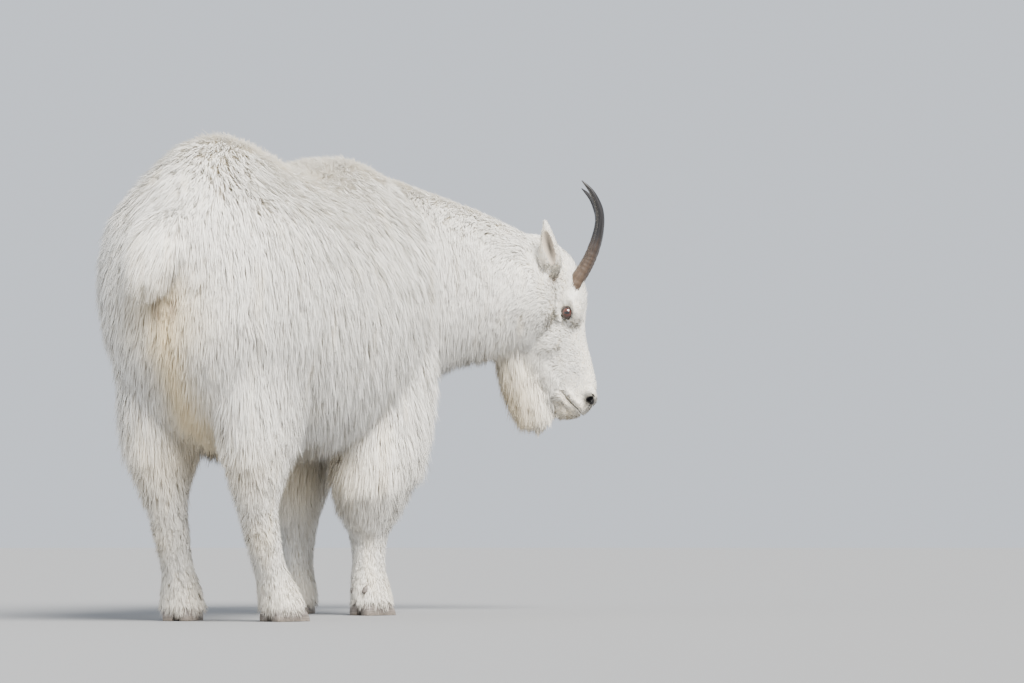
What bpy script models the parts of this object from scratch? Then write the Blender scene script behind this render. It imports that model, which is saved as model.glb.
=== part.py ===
"""A still, life-size mountain goat on its four feet, its head turned to its right and held low.

It faces -Y and its right side is -X. The floor is z = 0, and the origin lies under the middle of its
box. The body is modelled whole from oval rings, its long coat is laid on it as flat tapered locks, and
the whole is then parted into named pieces with thin gaps. Sizes are in metres.
"""

import math
import random

import bmesh
import bpy
from mathutils import Matrix, Vector
from mathutils.bvhtree import BVHTree

X = Vector((1, 0, 0))
Y = Vector((0, 1, 0))
Z = Vector((0, 0, 1))

GAP = 0.0003
SEED = 35
RING_SIDES = 16
MIDDLE_OF_BOX = Vector((-0.1023, -0.1282, 0.0))

# Coat: how far the core lies inside the tips, which is half the depth of the coat
TRUNK_COAT = 0.020
BACK_COAT = 0.015
NECK_COAT = 0.018
LEG_COAT = 0.020
LEG_COAT_STARTS = 0.20

# Trunk out to the tips: place along Y, top, widest height, bottom and half width
TRUNK = [
    (0.468, 0.705, 0.600, 0.500, 0.085),
    (0.440, 0.782, 0.600, 0.420, 0.148),
    (0.370, 0.858, 0.600, 0.345, 0.200),
    (0.280, 0.892, 0.590, 0.305, 0.218),
    (0.180, 0.886, 0.580, 0.292, 0.224),
    (0.060, 0.866, 0.570, 0.290, 0.222),
    (-0.050, 0.866, 0.570, 0.295, 0.220),
    (-0.180, 0.896, 0.575, 0.315, 0.220),
    (-0.300, 0.914, 0.585, 0.335, 0.212),
    (-0.400, 0.908, 0.600, 0.362, 0.196),
    (-0.480, 0.862, 0.610, 0.405, 0.160),
    (-0.535, 0.775, 0.620, 0.480, 0.100),
]

# Neck out to the tips: centre of each ring, half width, height above the centre and depth below it
NECK = [
    ((0.000, -0.340, 0.640), 0.180, 0.254, 0.250),
    ((-0.015, -0.430, 0.655), 0.170, 0.240, 0.240),
    ((-0.085, -0.530, 0.665), 0.148, 0.210, 0.205),
    ((-0.165, -0.595, 0.665), 0.126, 0.178, 0.175),
    ((-0.235, -0.635, 0.665), 0.110, 0.148, 0.158),
    ((-0.290, -0.660, 0.660), 0.096, 0.116, 0.145),
    ((-0.335, -0.678, 0.650), 0.080, 0.088, 0.110),
]

# Legs out to the tips: each ring's height, place across and along, half width, reach behind and in front
HIND_LEG = [
    (0.600, 0.104, 0.250, 0.112, 0.160, 0.160),
    (0.500, 0.104, 0.262, 0.106, 0.160, 0.165),
    (0.420, 0.102, 0.272, 0.098, 0.145, 0.155),
    (0.340, 0.099, 0.282, 0.090, 0.122, 0.130),
    (0.270, 0.094, 0.285, 0.078, 0.104, 0.108),
    (0.215, 0.089, 0.278, 0.060, 0.080, 0.082),
    (0.165, 0.086, 0.262, 0.036, 0.046, 0.047),
    (0.120, 0.086, 0.240, 0.028, 0.033, 0.034),
    (0.080, 0.088, 0.218, 0.029, 0.034, 0.034),
    (0.050, 0.091, 0.202, 0.036, 0.039, 0.044),
    (0.028, 0.093, 0.194, 0.040, 0.043, 0.050),
    (0.014, 0.093, 0.192, 0.040, 0.043, 0.050),
]
FORE_LEG = [
    (0.600, 0.108, -0.350, 0.088, 0.130, 0.130),
    (0.500, 0.106, -0.340, 0.092, 0.130, 0.125),
    (0.420, 0.102, -0.330, 0.097, 0.145, 0.118),
    (0.340, 0.098, -0.318, 0.098, 0.158, 0.110),
    (0.270, 0.093, -0.306, 0.094, 0.160, 0.102),
    (0.215, 0.086, -0.300, 0.082, 0.135, 0.088),
    (0.172, 0.080, -0.298, 0.046, 0.066, 0.050),
    (0.140, 0.079, -0.298, 0.032, 0.038, 0.036),
    (0.090, 0.080, -0.298, 0.030, 0.034, 0.033),
    (0.055, 0.083, -0.302, 0.036, 0.040, 0.042),
    (0.028, 0.086, -0.308, 0.040, 0.044, 0.050),
    (0.014, 0.086, -0.309, 0.040, 0.044, 0.050),
]

# Feet: how far each stands from its ring table's place, across and along, and its turn outward
FEET = {
    "hind_left": (-0.004, 0.010, 4.0),
    "hind_right": (0.012, 0.000, 24.0),
    "fore_left": (0.014, -0.040, 6.0),
    "fore_right": (0.004, 0.040, 24.0),
}
STANCE_FROM_HEIGHT = 0.45

# Claws, in the foot's frame: place forward of the foot, top, height of the widest point and half width
CLAW = [
    (-0.034, 0.022, 0.008, 0.0085),
    (-0.022, 0.030, 0.008, 0.0125),
    (0.000, 0.034, 0.008, 0.0140),
    (0.022, 0.030, 0.007, 0.0130),
    (0.038, 0.020, 0.006, 0.0100),
    (0.047, 0.009, 0.004, 0.0050),
]
CLAW_APART = 0.0160
DEWCLAW_SIZE = Vector((0.0075, 0.0070, 0.0120))
DEWCLAW_AT = Vector((0.0165, 0.0370, 0.0520))

# Tail out to the tips: centre, half width, thickness behind and in front
TAIL = [
    ((-0.006, 0.425, 0.722), 0.036, 0.020, 0.030),
    ((-0.002, 0.458, 0.700), 0.046, 0.026, 0.030),
    ((0.004, 0.482, 0.668), 0.054, 0.030, 0.028),
    ((0.010, 0.494, 0.632), 0.052, 0.028, 0.026),
    ((0.016, 0.498, 0.602), 0.040, 0.022, 0.020),
    ((0.022, 0.497, 0.568), 0.020, 0.012, 0.010),
]

# Head in its own frame, facing -Y with its poll at the origin: place forward, top, widest, bottom, half width
HEAD = [
    (-0.045, 0.000, -0.050, -0.100, 0.046),
    (-0.010, 0.022, -0.045, -0.130, 0.060),
    (0.030, 0.040, -0.038, -0.145, 0.065),
    (0.080, 0.054, -0.026, -0.150, 0.065),
    (0.120, 0.054, -0.018, -0.150, 0.061),
    (0.150, 0.047, -0.018, -0.146, 0.056),
    (0.180, 0.042, -0.022, -0.138, 0.050),
    (0.215, 0.040, -0.026, -0.124, 0.044),
    (0.250, 0.038, -0.028, -0.106, 0.038),
    (0.285, 0.035, -0.028, -0.088, 0.035),
    (0.312, 0.030, -0.026, -0.076, 0.035),
    (0.336, 0.018, -0.026, -0.070, 0.032),
    (0.352, 0.004, -0.028, -0.064, 0.026),
    (0.360, -0.010, -0.030, -0.052, 0.016),
]
HEAD_AT = Vector((-0.305, -0.686, 0.752))
HEAD_TURN = math.radians(75.7)
HEAD_PITCH = math.radians(75.0)
HEAD_ROLL = math.radians(4.0)

# Swells of the head: place across, forward and up, and radii; each is mirrored
SWELLS = [
    ((0.031, 0.146, 0.013), (0.026, 0.040, 0.028)),
    ((0.032, 0.175, -0.046), (0.021, 0.056, 0.040)),
    ((0.019, 0.328, 0.008), (0.012, 0.019, 0.014)),
    ((0.016, 0.338, -0.022), (0.017, 0.020, 0.015)),
    ((0.010, 0.342, -0.052), (0.016, 0.017, 0.013)),
]
BEARD_CORE = [
    ((0.000, 0.180, -0.125), 0.024, 0.020),
    ((0.000, 0.235, -0.128), 0.024, 0.026),
    ((0.000, 0.290, -0.118), 0.021, 0.028),
    ((0.000, 0.325, -0.108), 0.014, 0.020),
    ((0.000, 0.345, -0.104), 0.005, 0.008),
]

EYE_AT = Vector((0.0445, 0.152, 0.006))
EYE_RADIUS = 0.0150
LID_RADIUS = 0.0026
LID_OPENING = (0.0122, 0.0088)
NOSTRIL_AT = Vector((0.0170, 0.3430, 0.0100))
NOSTRIL_SIZE = Vector((0.0038, 0.0110, 0.0070))
MOUTH = [(0.300, -0.046), (0.318, -0.040), (0.338, -0.029), (0.352, -0.021), (0.380, -0.012)]
MOUTH_HEIGHT = 0.0016

# Horns in the head's frame: place across, forward and up, and radius
HORN = [
    (0.026, 0.108, 0.026, 0.0150),
    (0.028, 0.084, 0.050, 0.0145),
    (0.031, 0.056, 0.078, 0.0132),
    (0.035, 0.025, 0.101, 0.0122),
    (0.040, -0.005, 0.117, 0.0110),
    (0.045, -0.032, 0.124, 0.0096),
    (0.050, -0.055, 0.123, 0.0078),
    (0.054, -0.073, 0.119, 0.0058),
    (0.058, -0.088, 0.112, 0.0036),
    (0.061, -0.100, 0.105, 0.0010),
]
HORN_SIDES = 8
HORN_STEPS = 4
HORN_RING_SWELL = 0.0009

# Ears in the head's frame: place across, forward and up, half width and half thickness
EAR = [
    (0.040, 0.086, -0.006, 0.012, 0.009),
    (0.058, 0.070, -0.004, 0.016, 0.010),
    (0.071, 0.045, 0.000, 0.021, 0.010),
    (0.080, 0.015, 0.004, 0.020, 0.009),
    (0.085, -0.012, 0.008, 0.013, 0.007),
    (0.087, -0.032, 0.011, 0.004, 0.003),
]
EAR_CUP = ((0.081, 0.026, 0.004), (0.0085, 0.044, 0.013))
EAR_CUT = 0.55
EAR_ROOM = 0.028

# Locks: spacing, length, half width, half thickness, and how far the tips stand off the core
LOCKS = {
    "trunk": (0.088, 0.165, 0.034, 0.0085, 0.036),
    "back": (0.084, 0.140, 0.034, 0.0085, 0.024),
    "rump": (0.078, 0.130, 0.031, 0.0085, 0.034),
    "belly": (0.082, 0.115, 0.028, 0.0075, 0.034),
    "neck": (0.078, 0.125, 0.030, 0.0075, 0.026),
    "leg": (0.066, 0.100, 0.025, 0.0070, 0.025),
    "beard": (0.029, 0.050, 0.018, 0.0075, 0.008),
    "crown": (0.034, 0.050, 0.014, 0.0050, 0.012),
}
HANGING = {"beard"}
LOCK_SUNK = 0.010
LEG_LOCKS_END = 0.190
SHORTEST_LOCK = 0.050
LOCK_SIDES = 3
LOCK_STATIONS = [(0.0, 0.55), (0.34, 1.0), (0.72, 0.78)]

CORE_TRIANGLES = 1700
HEAD_TRIANGLES = 1900
JOINED_TRIANGLES = 10000
CORE_VOXEL = 0.011
HEAD_VOXEL = 0.004

COLOURS = {
    "coat": ((0.86, 0.83, 0.76, 1), 0.85),
    "horn": ((0.035, 0.028, 0.024, 1), 0.35),
    "hoof": ((0.10, 0.085, 0.07, 1), 0.6),
    "eye": ((0.06, 0.025, 0.015, 1), 0.12),
}


def clear_scene():
    for old in list(bpy.data.objects):
        bpy.data.objects.remove(old)


def link(name, mesh):
    obj = bpy.data.objects.new(name, mesh)
    bpy.context.scene.collection.objects.link(obj)
    return obj


def object_from(bm, name):
    bmesh.ops.recalc_face_normals(bm, faces=bm.faces)
    mesh = bpy.data.meshes.new(name)
    bm.to_mesh(mesh)
    bm.free()
    return link(name, mesh)


def settle(obj):
    """Applies the object's modifiers."""
    graph = bpy.context.evaluated_depsgraph_get()
    mesh = bpy.data.meshes.new_from_object(obj.evaluated_get(graph))
    obj.modifiers.clear()
    obj.data = mesh
    return obj


def head_place():
    """The matrix from the head's frame to its place."""
    turn = Matrix.Rotation(-HEAD_TURN, 4, "Z")
    pitch = Matrix.Rotation(HEAD_PITCH, 4, "X")
    roll = Matrix.Rotation(HEAD_ROLL, 4, "Y")
    return Matrix.Translation(HEAD_AT) @ turn @ pitch @ roll


def foot_share(height):
    """How much of a foot's stance is reached at this height."""
    return min(1.0, max(0.0, 1 - height / STANCE_FROM_HEIGHT)) ** 2


def foot_place(name):
    """The matrix from a foot's frame, on the floor with its toes to -Y, to its place."""
    rings = HIND_LEG if name.startswith("hind") else FORE_LEG
    side = 1 if name.endswith("left") else -1
    across, along, turn = FEET[name]
    x, y = rings[-1][1:3]
    return Matrix.Translation((side * (x + across), y + along, 0)) @ Matrix.Rotation(
        math.radians(side * turn), 4, "Z"
    )


def oval(bm, centre, side, up, half_wide, above, below, sides=RING_SIDES):
    """A ring of edges round centre, reaching above and below it along up."""
    centre = Vector(centre)
    middle = centre + up * (above - below) / 2
    frame = Matrix((side * half_wide, up * (above + below) / 2, side.cross(up))).transposed()
    place = Matrix.Translation(middle) @ frame.to_4x4()
    verts = bmesh.ops.create_circle(bm, segments=sides, radius=1.0, matrix=place)["verts"]
    return list({edge for vert in verts for edge in vert.link_edges})


def bridge(bm, loops):
    """A closed tube through loops of edges."""
    for one, other in zip(loops, loops[1:]):
        bmesh.ops.bridge_loops(bm, edges=one + other)
    for end in (loops[0], loops[-1]):
        bmesh.ops.contextual_create(bm, geom=end)


def tube(points, radii, sides, facing=Z):
    """A closed tube through points with a flat oval section; radii are half width and half thickness."""
    bm = bmesh.new()
    loops = []
    for i, (point, (wide, thick)) in enumerate(zip(points, radii)):
        along = (points[min(i + 1, len(points) - 1)] - points[max(i - 1, 0)]).normalized()
        side = along.cross(facing).normalized()
        up = side.cross(along)
        loops.append(oval(bm, point, side, up, wide, thick, thick, sides))
    bridge(bm, loops)
    return bm


def ball(bm, centre, radii, turn=None, fine=8):
    place = Matrix.Translation(centre) @ (turn or Matrix()) @ Matrix.Diagonal((*radii, 1))
    bmesh.ops.create_uvsphere(bm, u_segments=2 * fine, v_segments=fine, radius=1.0, matrix=place)


def mirrored(point, side):
    """A point given as across, forward and up, in the head's frame."""
    return Vector((side * point[0], -point[1], point[2]))


def add_trunk(bm):
    loops = []
    for along, top, widest, bottom, half_wide in TRUNK:
        above = top - widest - BACK_COAT
        below = widest - bottom - TRUNK_COAT
        loops.append(oval(bm, (0, along, widest), X, Z, half_wide - TRUNK_COAT, above, below))
    bridge(bm, loops)


def add_neck(bm):
    centres = [Vector(ring[0]) for ring in NECK]
    loops = []
    for i, (centre, half_wide, above, below) in enumerate(NECK):
        along = centres[min(i + 1, len(NECK) - 1)] - centres[max(i - 1, 0)]
        along.z = 0
        side = along.normalized().cross(Z)
        inset = NECK_COAT
        loops.append(oval(bm, centre, side, Z, half_wide - inset, above - inset, below - inset))
    bridge(bm, loops)


def add_leg(bm, name):
    rings = HIND_LEG if name.startswith("hind") else FORE_LEG
    side = 1 if name.endswith("left") else -1
    across, along, _ = FEET[name]
    loops = []
    for height, x, y, half_wide, behind, front in rings:
        share = foot_share(height)
        inset = LEG_COAT if height > LEG_COAT_STARTS else 0.0
        centre = (side * (x + across * share), y + along * share, height)
        loops.append(oval(bm, centre, X, Y, half_wide - inset, behind - inset, front - inset))
    bridge(bm, loops)


def add_tail(bm):
    loops = []
    for centre, half_wide, behind, front in TAIL:
        loops.append(oval(bm, centre, X, Y, half_wide, behind, front))
    bridge(bm, loops)


def thinned(obj, triangles):
    """The object with its flattest edges collapsed until so many triangles are left."""
    obj.data.calc_loop_triangles()
    thin = obj.modifiers.new("thin", "DECIMATE")
    thin.ratio = min(1.0, triangles / len(obj.data.loop_triangles))
    return settle(obj)


def smoothed(obj, voxel, passes, triangles):
    """One skin round the object's overlapping shapes, smoothed and thinned out to so many triangles."""
    remesh = obj.modifiers.new("skin", "REMESH")
    remesh.mode = "VOXEL"
    remesh.voxel_size = voxel
    smooth = obj.modifiers.new("smooth", "SMOOTH")
    smooth.factor = 0.5
    smooth.iterations = passes
    return thinned(settle(obj), triangles)


def rounded(bm):
    """Subdivides tubes of rings so that they bend smoothly."""
    obj = object_from(bm, "rings")
    round_off = obj.modifiers.new("round", "SUBSURF")
    round_off.levels = round_off.render_levels = 2
    return settle(obj)


def core():
    bm = bmesh.new()
    add_trunk(bm)
    add_neck(bm)
    for name in FEET:
        add_leg(bm, name)
    add_tail(bm)
    return smoothed(rounded(bm), CORE_VOXEL, 6, CORE_TRIANGLES)


def head():
    """The head in its own frame, without its eyes, ears and horns."""
    bm = bmesh.new()
    loops = []
    for along, top, widest, bottom, half_wide in HEAD:
        loops.append(oval(bm, (0, -along, widest), X, Z, half_wide, top - widest, widest - bottom))
    bridge(bm, loops)
    obj = rounded(bm)
    bm = bmesh.new()
    bm.from_mesh(obj.data)
    bpy.data.objects.remove(obj)
    for centre, radii in SWELLS:
        for side in (1, -1):
            ball(bm, mirrored(centre, side), radii)
    beard = tube([mirrored(ring[0], 1) for ring in BEARD_CORE], [ring[1:] for ring in BEARD_CORE], 12)
    mesh = bpy.data.meshes.new("beard")
    beard.to_mesh(mesh)
    bm.from_mesh(mesh)
    return smoothed(object_from(bm, "head"), HEAD_VOXEL, 10, HEAD_TRIANGLES)


def lids(side):
    """The rim of both lids round one eye, lying on the eyeball."""
    centre = mirrored(EYE_AT, side)
    wide, high = LID_OPENING
    points = []
    steps = 14
    for i in range(steps + 1):
        turn = 2 * math.pi * i / steps
        y = wide * math.cos(turn)
        z = high * math.sin(turn) * (1 - 0.25 * abs(math.cos(turn)))
        x = side * math.sqrt(EYE_RADIUS**2 - y**2 - z**2)
        points.append(centre + Vector((x, y, z)))
    bm = bmesh.new()
    loops = []
    for i in range(steps):
        along = points[i + 1] - points[i - 1 if i else steps - 1]
        out = (points[i] - centre).normalized()
        loops.append(oval(bm, points[i], along.cross(out).normalized(), out, LID_RADIUS, 0.0022, 0.004, 6))
    for one, other in zip(loops, loops[1:] + loops[:1]):
        bmesh.ops.bridge_loops(bm, edges=one + other)
    return object_from(bm, "lids")


def eye(side, grown=0.0):
    bm = bmesh.new()
    ball(bm, mirrored(EYE_AT, side), (EYE_RADIUS + grown,) * 3, Matrix.Rotation(math.pi / 2, 4, "Y"), 6)
    return object_from(bm, "eye")


def horn(side, grown=0.0):
    """A horn, which bends back and is ringed near its base."""
    points = []
    radii = []
    for i, (one, other) in enumerate(zip(HORN, HORN[1:])):
        steps = HORN_STEPS if i < 3 else 1
        for step in range(steps):
            share = step / steps
            values = [a + (b - a) * share for a, b in zip(one, other)]
            ringed = HORN_RING_SWELL * (step % 2) if 0 < i < 3 else 0
            points.append(mirrored(values[:3], side))
            radii.append((values[3] * 0.9 + ringed + grown, values[3] + ringed + grown))
    points.append(mirrored(HORN[-1][:3], side))
    radii.append((HORN[-1][3], HORN[-1][3]))
    if grown:
        points[0] -= (points[1] - points[0]).normalized() * grown
    return object_from(tube(points, radii, HORN_SIDES), "horn")


def ear(side):
    points = [mirrored(ring[:3], side) for ring in EAR]
    outward = Vector((side * 0.9, -0.2, 0.35)).normalized()
    return object_from(tube(points, [ring[3:5] for ring in EAR], 12, outward), "ear")


def ear_cup(side):
    centre, radii = EAR_CUP
    bm = bmesh.new()
    tilt = Matrix.Rotation(side * math.radians(-14), 4, "Z")
    ball(bm, mirrored(centre, side) + Vector((side * 0.009, 0, 0.002)), radii, tilt)
    return object_from(bm, "ear cup")


def nostril(side):
    bm = bmesh.new()
    turn = Matrix.Rotation(side * math.radians(-32), 4, "Z") @ Matrix.Rotation(math.radians(38), 4, "X")
    ball(bm, mirrored(NOSTRIL_AT, side), NOSTRIL_SIZE, turn)
    return object_from(bm, "nostril")


def mouth():
    """The cutter for the line of the mouth."""
    bm = bmesh.new()
    low = []
    high = []
    for along, height in MOUTH:
        low.append(bm.verts.new((-0.08, -along, height - MOUTH_HEIGHT / 2)))
        high.append(bm.verts.new((-0.08, -along, height + MOUTH_HEIGHT / 2)))
    face = bm.faces.new(low + high[::-1])
    made = bmesh.ops.extrude_face_region(bm, geom=[face])["geom"]
    verts = [item for item in made if isinstance(item, bmesh.types.BMVert)]
    bmesh.ops.translate(bm, vec=(0.16, 0, 0), verts=verts)
    return object_from(bm, "mouth")


def claw(name, side, grown=0.0):
    """One of a foot's two claws, flat underneath on the floor."""
    bm = bmesh.new()
    loops = []
    for forward, top, widest, half_wide in CLAW:
        above = top - widest + grown
        centre = (side * CLAW_APART, -forward, widest)
        loops.append(oval(bm, centre, X, Z, half_wide + grown, above, widest + 0.01, 10))
    bridge(bm, loops)
    floor = -GAP if grown else 0
    cut = bm.verts[:] + bm.edges[:] + bm.faces[:]
    made = bmesh.ops.bisect_plane(bm, geom=cut, plane_co=(0, 0, floor), plane_no=(0, 0, -1), clear_outer=True)
    rim = [item for item in made["geom_cut"] if isinstance(item, bmesh.types.BMEdge)]
    bmesh.ops.contextual_create(bm, geom=rim)
    bmesh.ops.transform(bm, matrix=foot_place(name), verts=bm.verts)
    return object_from(bm, "claw")


def dewclaw(name, side, grown=0.0):
    bm = bmesh.new()
    centre = Vector((side * DEWCLAW_AT.x, DEWCLAW_AT.y, DEWCLAW_AT.z))
    size = DEWCLAW_SIZE + Vector((grown, grown, grown))
    ball(bm, centre, size, Matrix.Rotation(math.radians(25), 4, "X"), 4)
    bmesh.ops.transform(bm, matrix=foot_place(name), verts=bm.verts)
    return object_from(bm, "dewclaw")


def tree_of(obj):
    bm = bmesh.new()
    bm.from_mesh(obj.data)
    bmesh.ops.triangulate(bm, faces=bm.faces)
    tree = BVHTree.FromBMesh(bm)
    return tree, bm


def scattered(bm, rng, kind_at):
    """Seeded roots spread over the surface, each with its kind of lock."""
    faces = list(bm.faces)
    weights = [face.calc_area() for face in faces]
    roots = []
    for face in rng.choices(faces, weights, k=9000):
        a, b, c = (vert.co for vert in face.verts)
        u, v = sorted((rng.random(), rng.random()))
        point = a * u + b * (v - u) + c * (1 - v)
        kind = kind_at(point, face.normal)
        if not kind:
            continue
        apart = LOCKS[kind][0]
        if all((point - other).length > min(apart, LOCKS[taken][0]) for other, taken in roots):
            roots.append((point, kind))
    return roots


def body_kind(point, normal):
    """Which kind of lock grows here on the body, if any; the tail and the shanks are smooth."""
    in_leg = abs(point.x) > 0.02 and (0.11 < point.y < 0.46 or -0.50 < point.y < -0.16)
    if point.z < LEG_LOCKS_END + SHORTEST_LOCK:
        return None
    if point.z < 0.44 and in_leg and normal.z > -0.5:
        return "leg"
    on_tail = point.y > 0.43 and 0.53 < point.z < 0.78 and abs(point.x) < 0.085
    if on_tail:
        return None
    if point.y > 0.34:
        return "rump"
    if normal.z < -0.35:
        return "belly"
    if point.y < -0.42:
        return "neck" if point.x > -0.27 else None
    return "back" if normal.z > 0.75 else "trunk"


def body_lie(point, normal, kind):
    """The way the coat lies here."""
    if kind == "leg":
        return Vector((0, 0.12, -1))
    if kind == "rump":
        return Vector((0, 0.25, -1))
    if kind == "belly":
        return Vector((normal.x * 0.4, 0.5, -0.6))
    if kind == "neck":
        return Vector((0.55, 0.55, -0.75))
    return Vector((0, 0.75, -0.75))


def add_lock(bm, tree, root, lie, kind, rng):
    """A flat tapered lock that follows the surface and stands off it at its tip."""
    _, length, half_wide, half_thick, lift = LOCKS[kind]
    length *= rng.uniform(0.85, 1.15)
    half_wide *= rng.uniform(0.85, 1.15)
    lift *= rng.uniform(0.8, 1.1)
    if kind == "leg":
        length = min(length, root.z - LEG_LOCKS_END)
    sway = rng.uniform(-0.25, 0.25)
    hangs = kind in HANGING
    point = root
    normal = tree.find_nearest(root)[1]
    reached = 0.0
    loops = []
    for share, size in LOCK_STATIONS + [(1.0, 0.0)]:
        step = (share - reached) * length
        reached = share
        flow = lie - normal * lie.dot(normal)
        if hangs or flow.length < 0.2:
            flow = lie.normalized()
        side = flow.cross(normal).normalized()
        flow = (flow + side * sway * share).normalized()
        if step:
            point = point + flow.normalized() * step
            nearest, found, _, distance = tree.find_nearest(point)
            if distance < 0.05 and not hangs:
                point, normal = nearest, found
        height = -LOCK_SUNK + (LOCK_SUNK + lift) * share**1.15
        centre = point + normal * height
        if size:
            side = flow.cross(normal).normalized()
            loops.append(oval(bm, centre, side, normal, half_wide * size, half_thick, half_thick, LOCK_SIDES))
        else:
            tip = bm.verts.new(centre)
    for one, other in zip(loops, loops[1:]):
        bmesh.ops.bridge_loops(bm, edges=one + other)
    for edge in loops[-1]:
        bm.faces.new((edge.verts[0], edge.verts[1], tip))
    bmesh.ops.contextual_create(bm, geom=loops[0])


def lock_objects(surface, kind_at, lie_at, rng):
    tree, bm = tree_of(surface)
    made = []
    for root, kind in scattered(bm, rng, kind_at):
        normal = tree.find_nearest(root)[1]
        piece = bmesh.new()
        add_lock(piece, tree, root, lie_at(root, normal, kind), kind, rng)
        made.append(object_from(piece, "lock"))
    bm.free()
    return made


def head_kind(point, normal):
    local = head_place().inverted() @ point
    turned = head_place().to_3x3().inverted() @ normal
    forward = -local.y
    if 0.15 < forward < 0.345 and turned.z < 0.1 and local.z < -0.085:
        return "beard"
    if 0.00 < forward < 0.062 and turned.z > 0.55:
        return "crown"
    return None


def head_lie(point, normal, kind):
    if kind == "beard":
        return Vector((0.12, 0.04, -1))
    return head_place().to_3x3() @ Vector((0, 0.4, 0.9))


def combine(obj, others, operation):
    """One Boolean of the object with every one of the others, which are removed."""
    group = bpy.data.collections.new("group")
    for other in others:
        group.objects.link(other)
    boolean = obj.modifiers.new("combine", "BOOLEAN")
    boolean.operation = operation
    boolean.operand_type = "COLLECTION"
    boolean.collection = group
    boolean.solver = "MANIFOLD"
    settle(obj)
    for other in others:
        bpy.data.objects.remove(other)
    bpy.data.collections.remove(group)
    return obj


def without_folds(bm):
    """Drops pairs of faces that lie back to back on the same corners."""
    bmesh.ops.triangulate(bm, faces=bm.faces)
    single = {}
    folded = []
    for face in bm.faces:
        corners = frozenset(face.verts)
        if corners in single:
            folded += [face, single.pop(corners)]
        else:
            single[corners] = face
    bmesh.ops.delete(bm, geom=folded, context="FACES")


def without_folds_in(obj):
    bm = bmesh.new()
    bm.from_mesh(obj.data)
    without_folds(bm)
    bm.to_mesh(obj.data)
    bm.free()


def largest_only(obj):
    """Keeps the object's largest closed surface."""
    bm = bmesh.new()
    bm.from_mesh(obj.data)
    without_folds(bm)
    left = set(bm.verts)
    shells = []
    while left:
        stack = [left.pop()]
        shell = set(stack)
        while stack:
            for edge in stack.pop().link_edges:
                for vert in edge.verts:
                    if vert in left:
                        left.remove(vert)
                        shell.add(vert)
                        stack.append(vert)
        shells.append(shell)
    shells.sort(key=len)
    scraps = [vert for shell in shells[:-1] for vert in shell]
    bmesh.ops.delete(bm, geom=scraps, context="VERTS")
    bm.to_mesh(obj.data)
    bm.free()
    return obj


def block(place, low, high, grown):
    """A box between two corners in the frame of place."""
    low = Vector(low) - Vector((grown,) * 3)
    high = Vector(high) + Vector((grown,) * 3)
    bm = bmesh.new()
    middle = Matrix.Translation((low + high) / 2) @ Matrix.Diagonal((*(high - low), 1))
    bmesh.ops.create_cube(bm, size=1.0, matrix=place @ middle)
    return object_from(bm, "block")


def wedge(side, y_low, y_high, inner, outer, grown):
    """The room of one upper leg, under a slope that rises outward from inner to outer height."""
    rise = grown * math.hypot(1, (outer - inner) / 0.3)
    points = [
        (GAP / 2 - grown / 2, -0.1),
        (0.45, -0.1),
        (0.45, outer + rise),
        (0.30, outer + rise),
        (GAP / 2 - grown / 2, inner + rise),
    ]
    bm = bmesh.new()
    face = bm.faces.new([bm.verts.new((side * x, y_low - grown, z)) for x, z in points])
    made = bmesh.ops.extrude_face_region(bm, geom=[face])["geom"]
    verts = [item for item in made if isinstance(item, bmesh.types.BMVert)]
    bmesh.ops.translate(bm, vec=(0, y_high - y_low + 2 * grown, 0), verts=verts)
    return object_from(bm, "wedge")


def frame_at(point, first, second):
    """A frame at point whose X is first and whose Z is as near second as can be."""
    x = Vector(first).normalized()
    y = Vector(second).cross(x).normalized()
    z = x.cross(y)
    return Matrix.Translation(point) @ Matrix((x, y, z)).transposed().to_4x4()


def ear_frame(side):
    base = head_place() @ mirrored(EAR[1][:3], side).lerp(mirrored(EAR[2][:3], side), EAR_CUT)
    tip = head_place() @ mirrored(EAR[-1][:3], side)
    return frame_at(base, tip - base, Y)


HEAD_CUT = frame_at(Vector((-0.250, -0.665, 0.640)), (-0.893, -0.313, -0.324), (0, 0, 1))
NECK_CUT = frame_at(Vector((-0.030, -0.450, 0.550)), (-0.45, -0.83, 0.32), (0, 0, 1))


def rooms():
    """The room of each piece of the body, in the order in which they are parted off."""
    here = Matrix()
    found = []
    for side, word in ((1, "left"), (-1, "right")):
        ear_box = (ear_frame(side), (0, -EAR_ROOM, -EAR_ROOM), (0.2, EAR_ROOM, EAR_ROOM))
        found.append((f"ear_{word}", lambda g, e=ear_box: block(*e, g)))
    found.append(("head", lambda g: block(HEAD_CUT, (0, -0.3, -0.32), (0.5, 0.3, 0.5), g)))
    found.append(("neck", lambda g: block(NECK_CUT, (0, -0.5, -0.4), (0.7, 0.5, 0.6), g)))
    found.append(("tail", lambda g: block(here, (-0.075, 0.466, 0.53), (0.085, 0.60, 0.74), g)))
    for side, word in ((1, "left"), (-1, "right")):
        low, high = sorted((side * 0.0002, side * 0.4))
        hind = ((low, 0.05, -0.1), (high, 0.6, 0.178))
        fore = ((low, -0.6, -0.1), (high, -0.05, 0.168))
        found.append((f"hind_shank_{word}", lambda g, h=hind: block(here, *h, g)))
        found.append((f"fore_shank_{word}", lambda g, f=fore: block(here, *f, g)))
        found.append((f"thigh_{word}", lambda g, s=side: wedge(s, 0.085, 0.62, 0.270, 0.585, g)))
        found.append((f"forearm_{word}", lambda g, s=side: wedge(s, -0.62, -0.165, 0.290, 0.480, g)))
    return found


def parted(whole):
    """The pieces of the whole by name, with a thin gap between neighbours."""
    pieces = {}
    for name, room in rooms():
        piece = link(name, whole.data.copy())
        pieces[name] = largest_only(combine(piece, [room(0.0)], "INTERSECT"))
        combine(whole, [room(GAP)], "DIFFERENCE")
    whole.name = "torso"
    pieces["torso"] = largest_only(whole)
    return pieces


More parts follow.
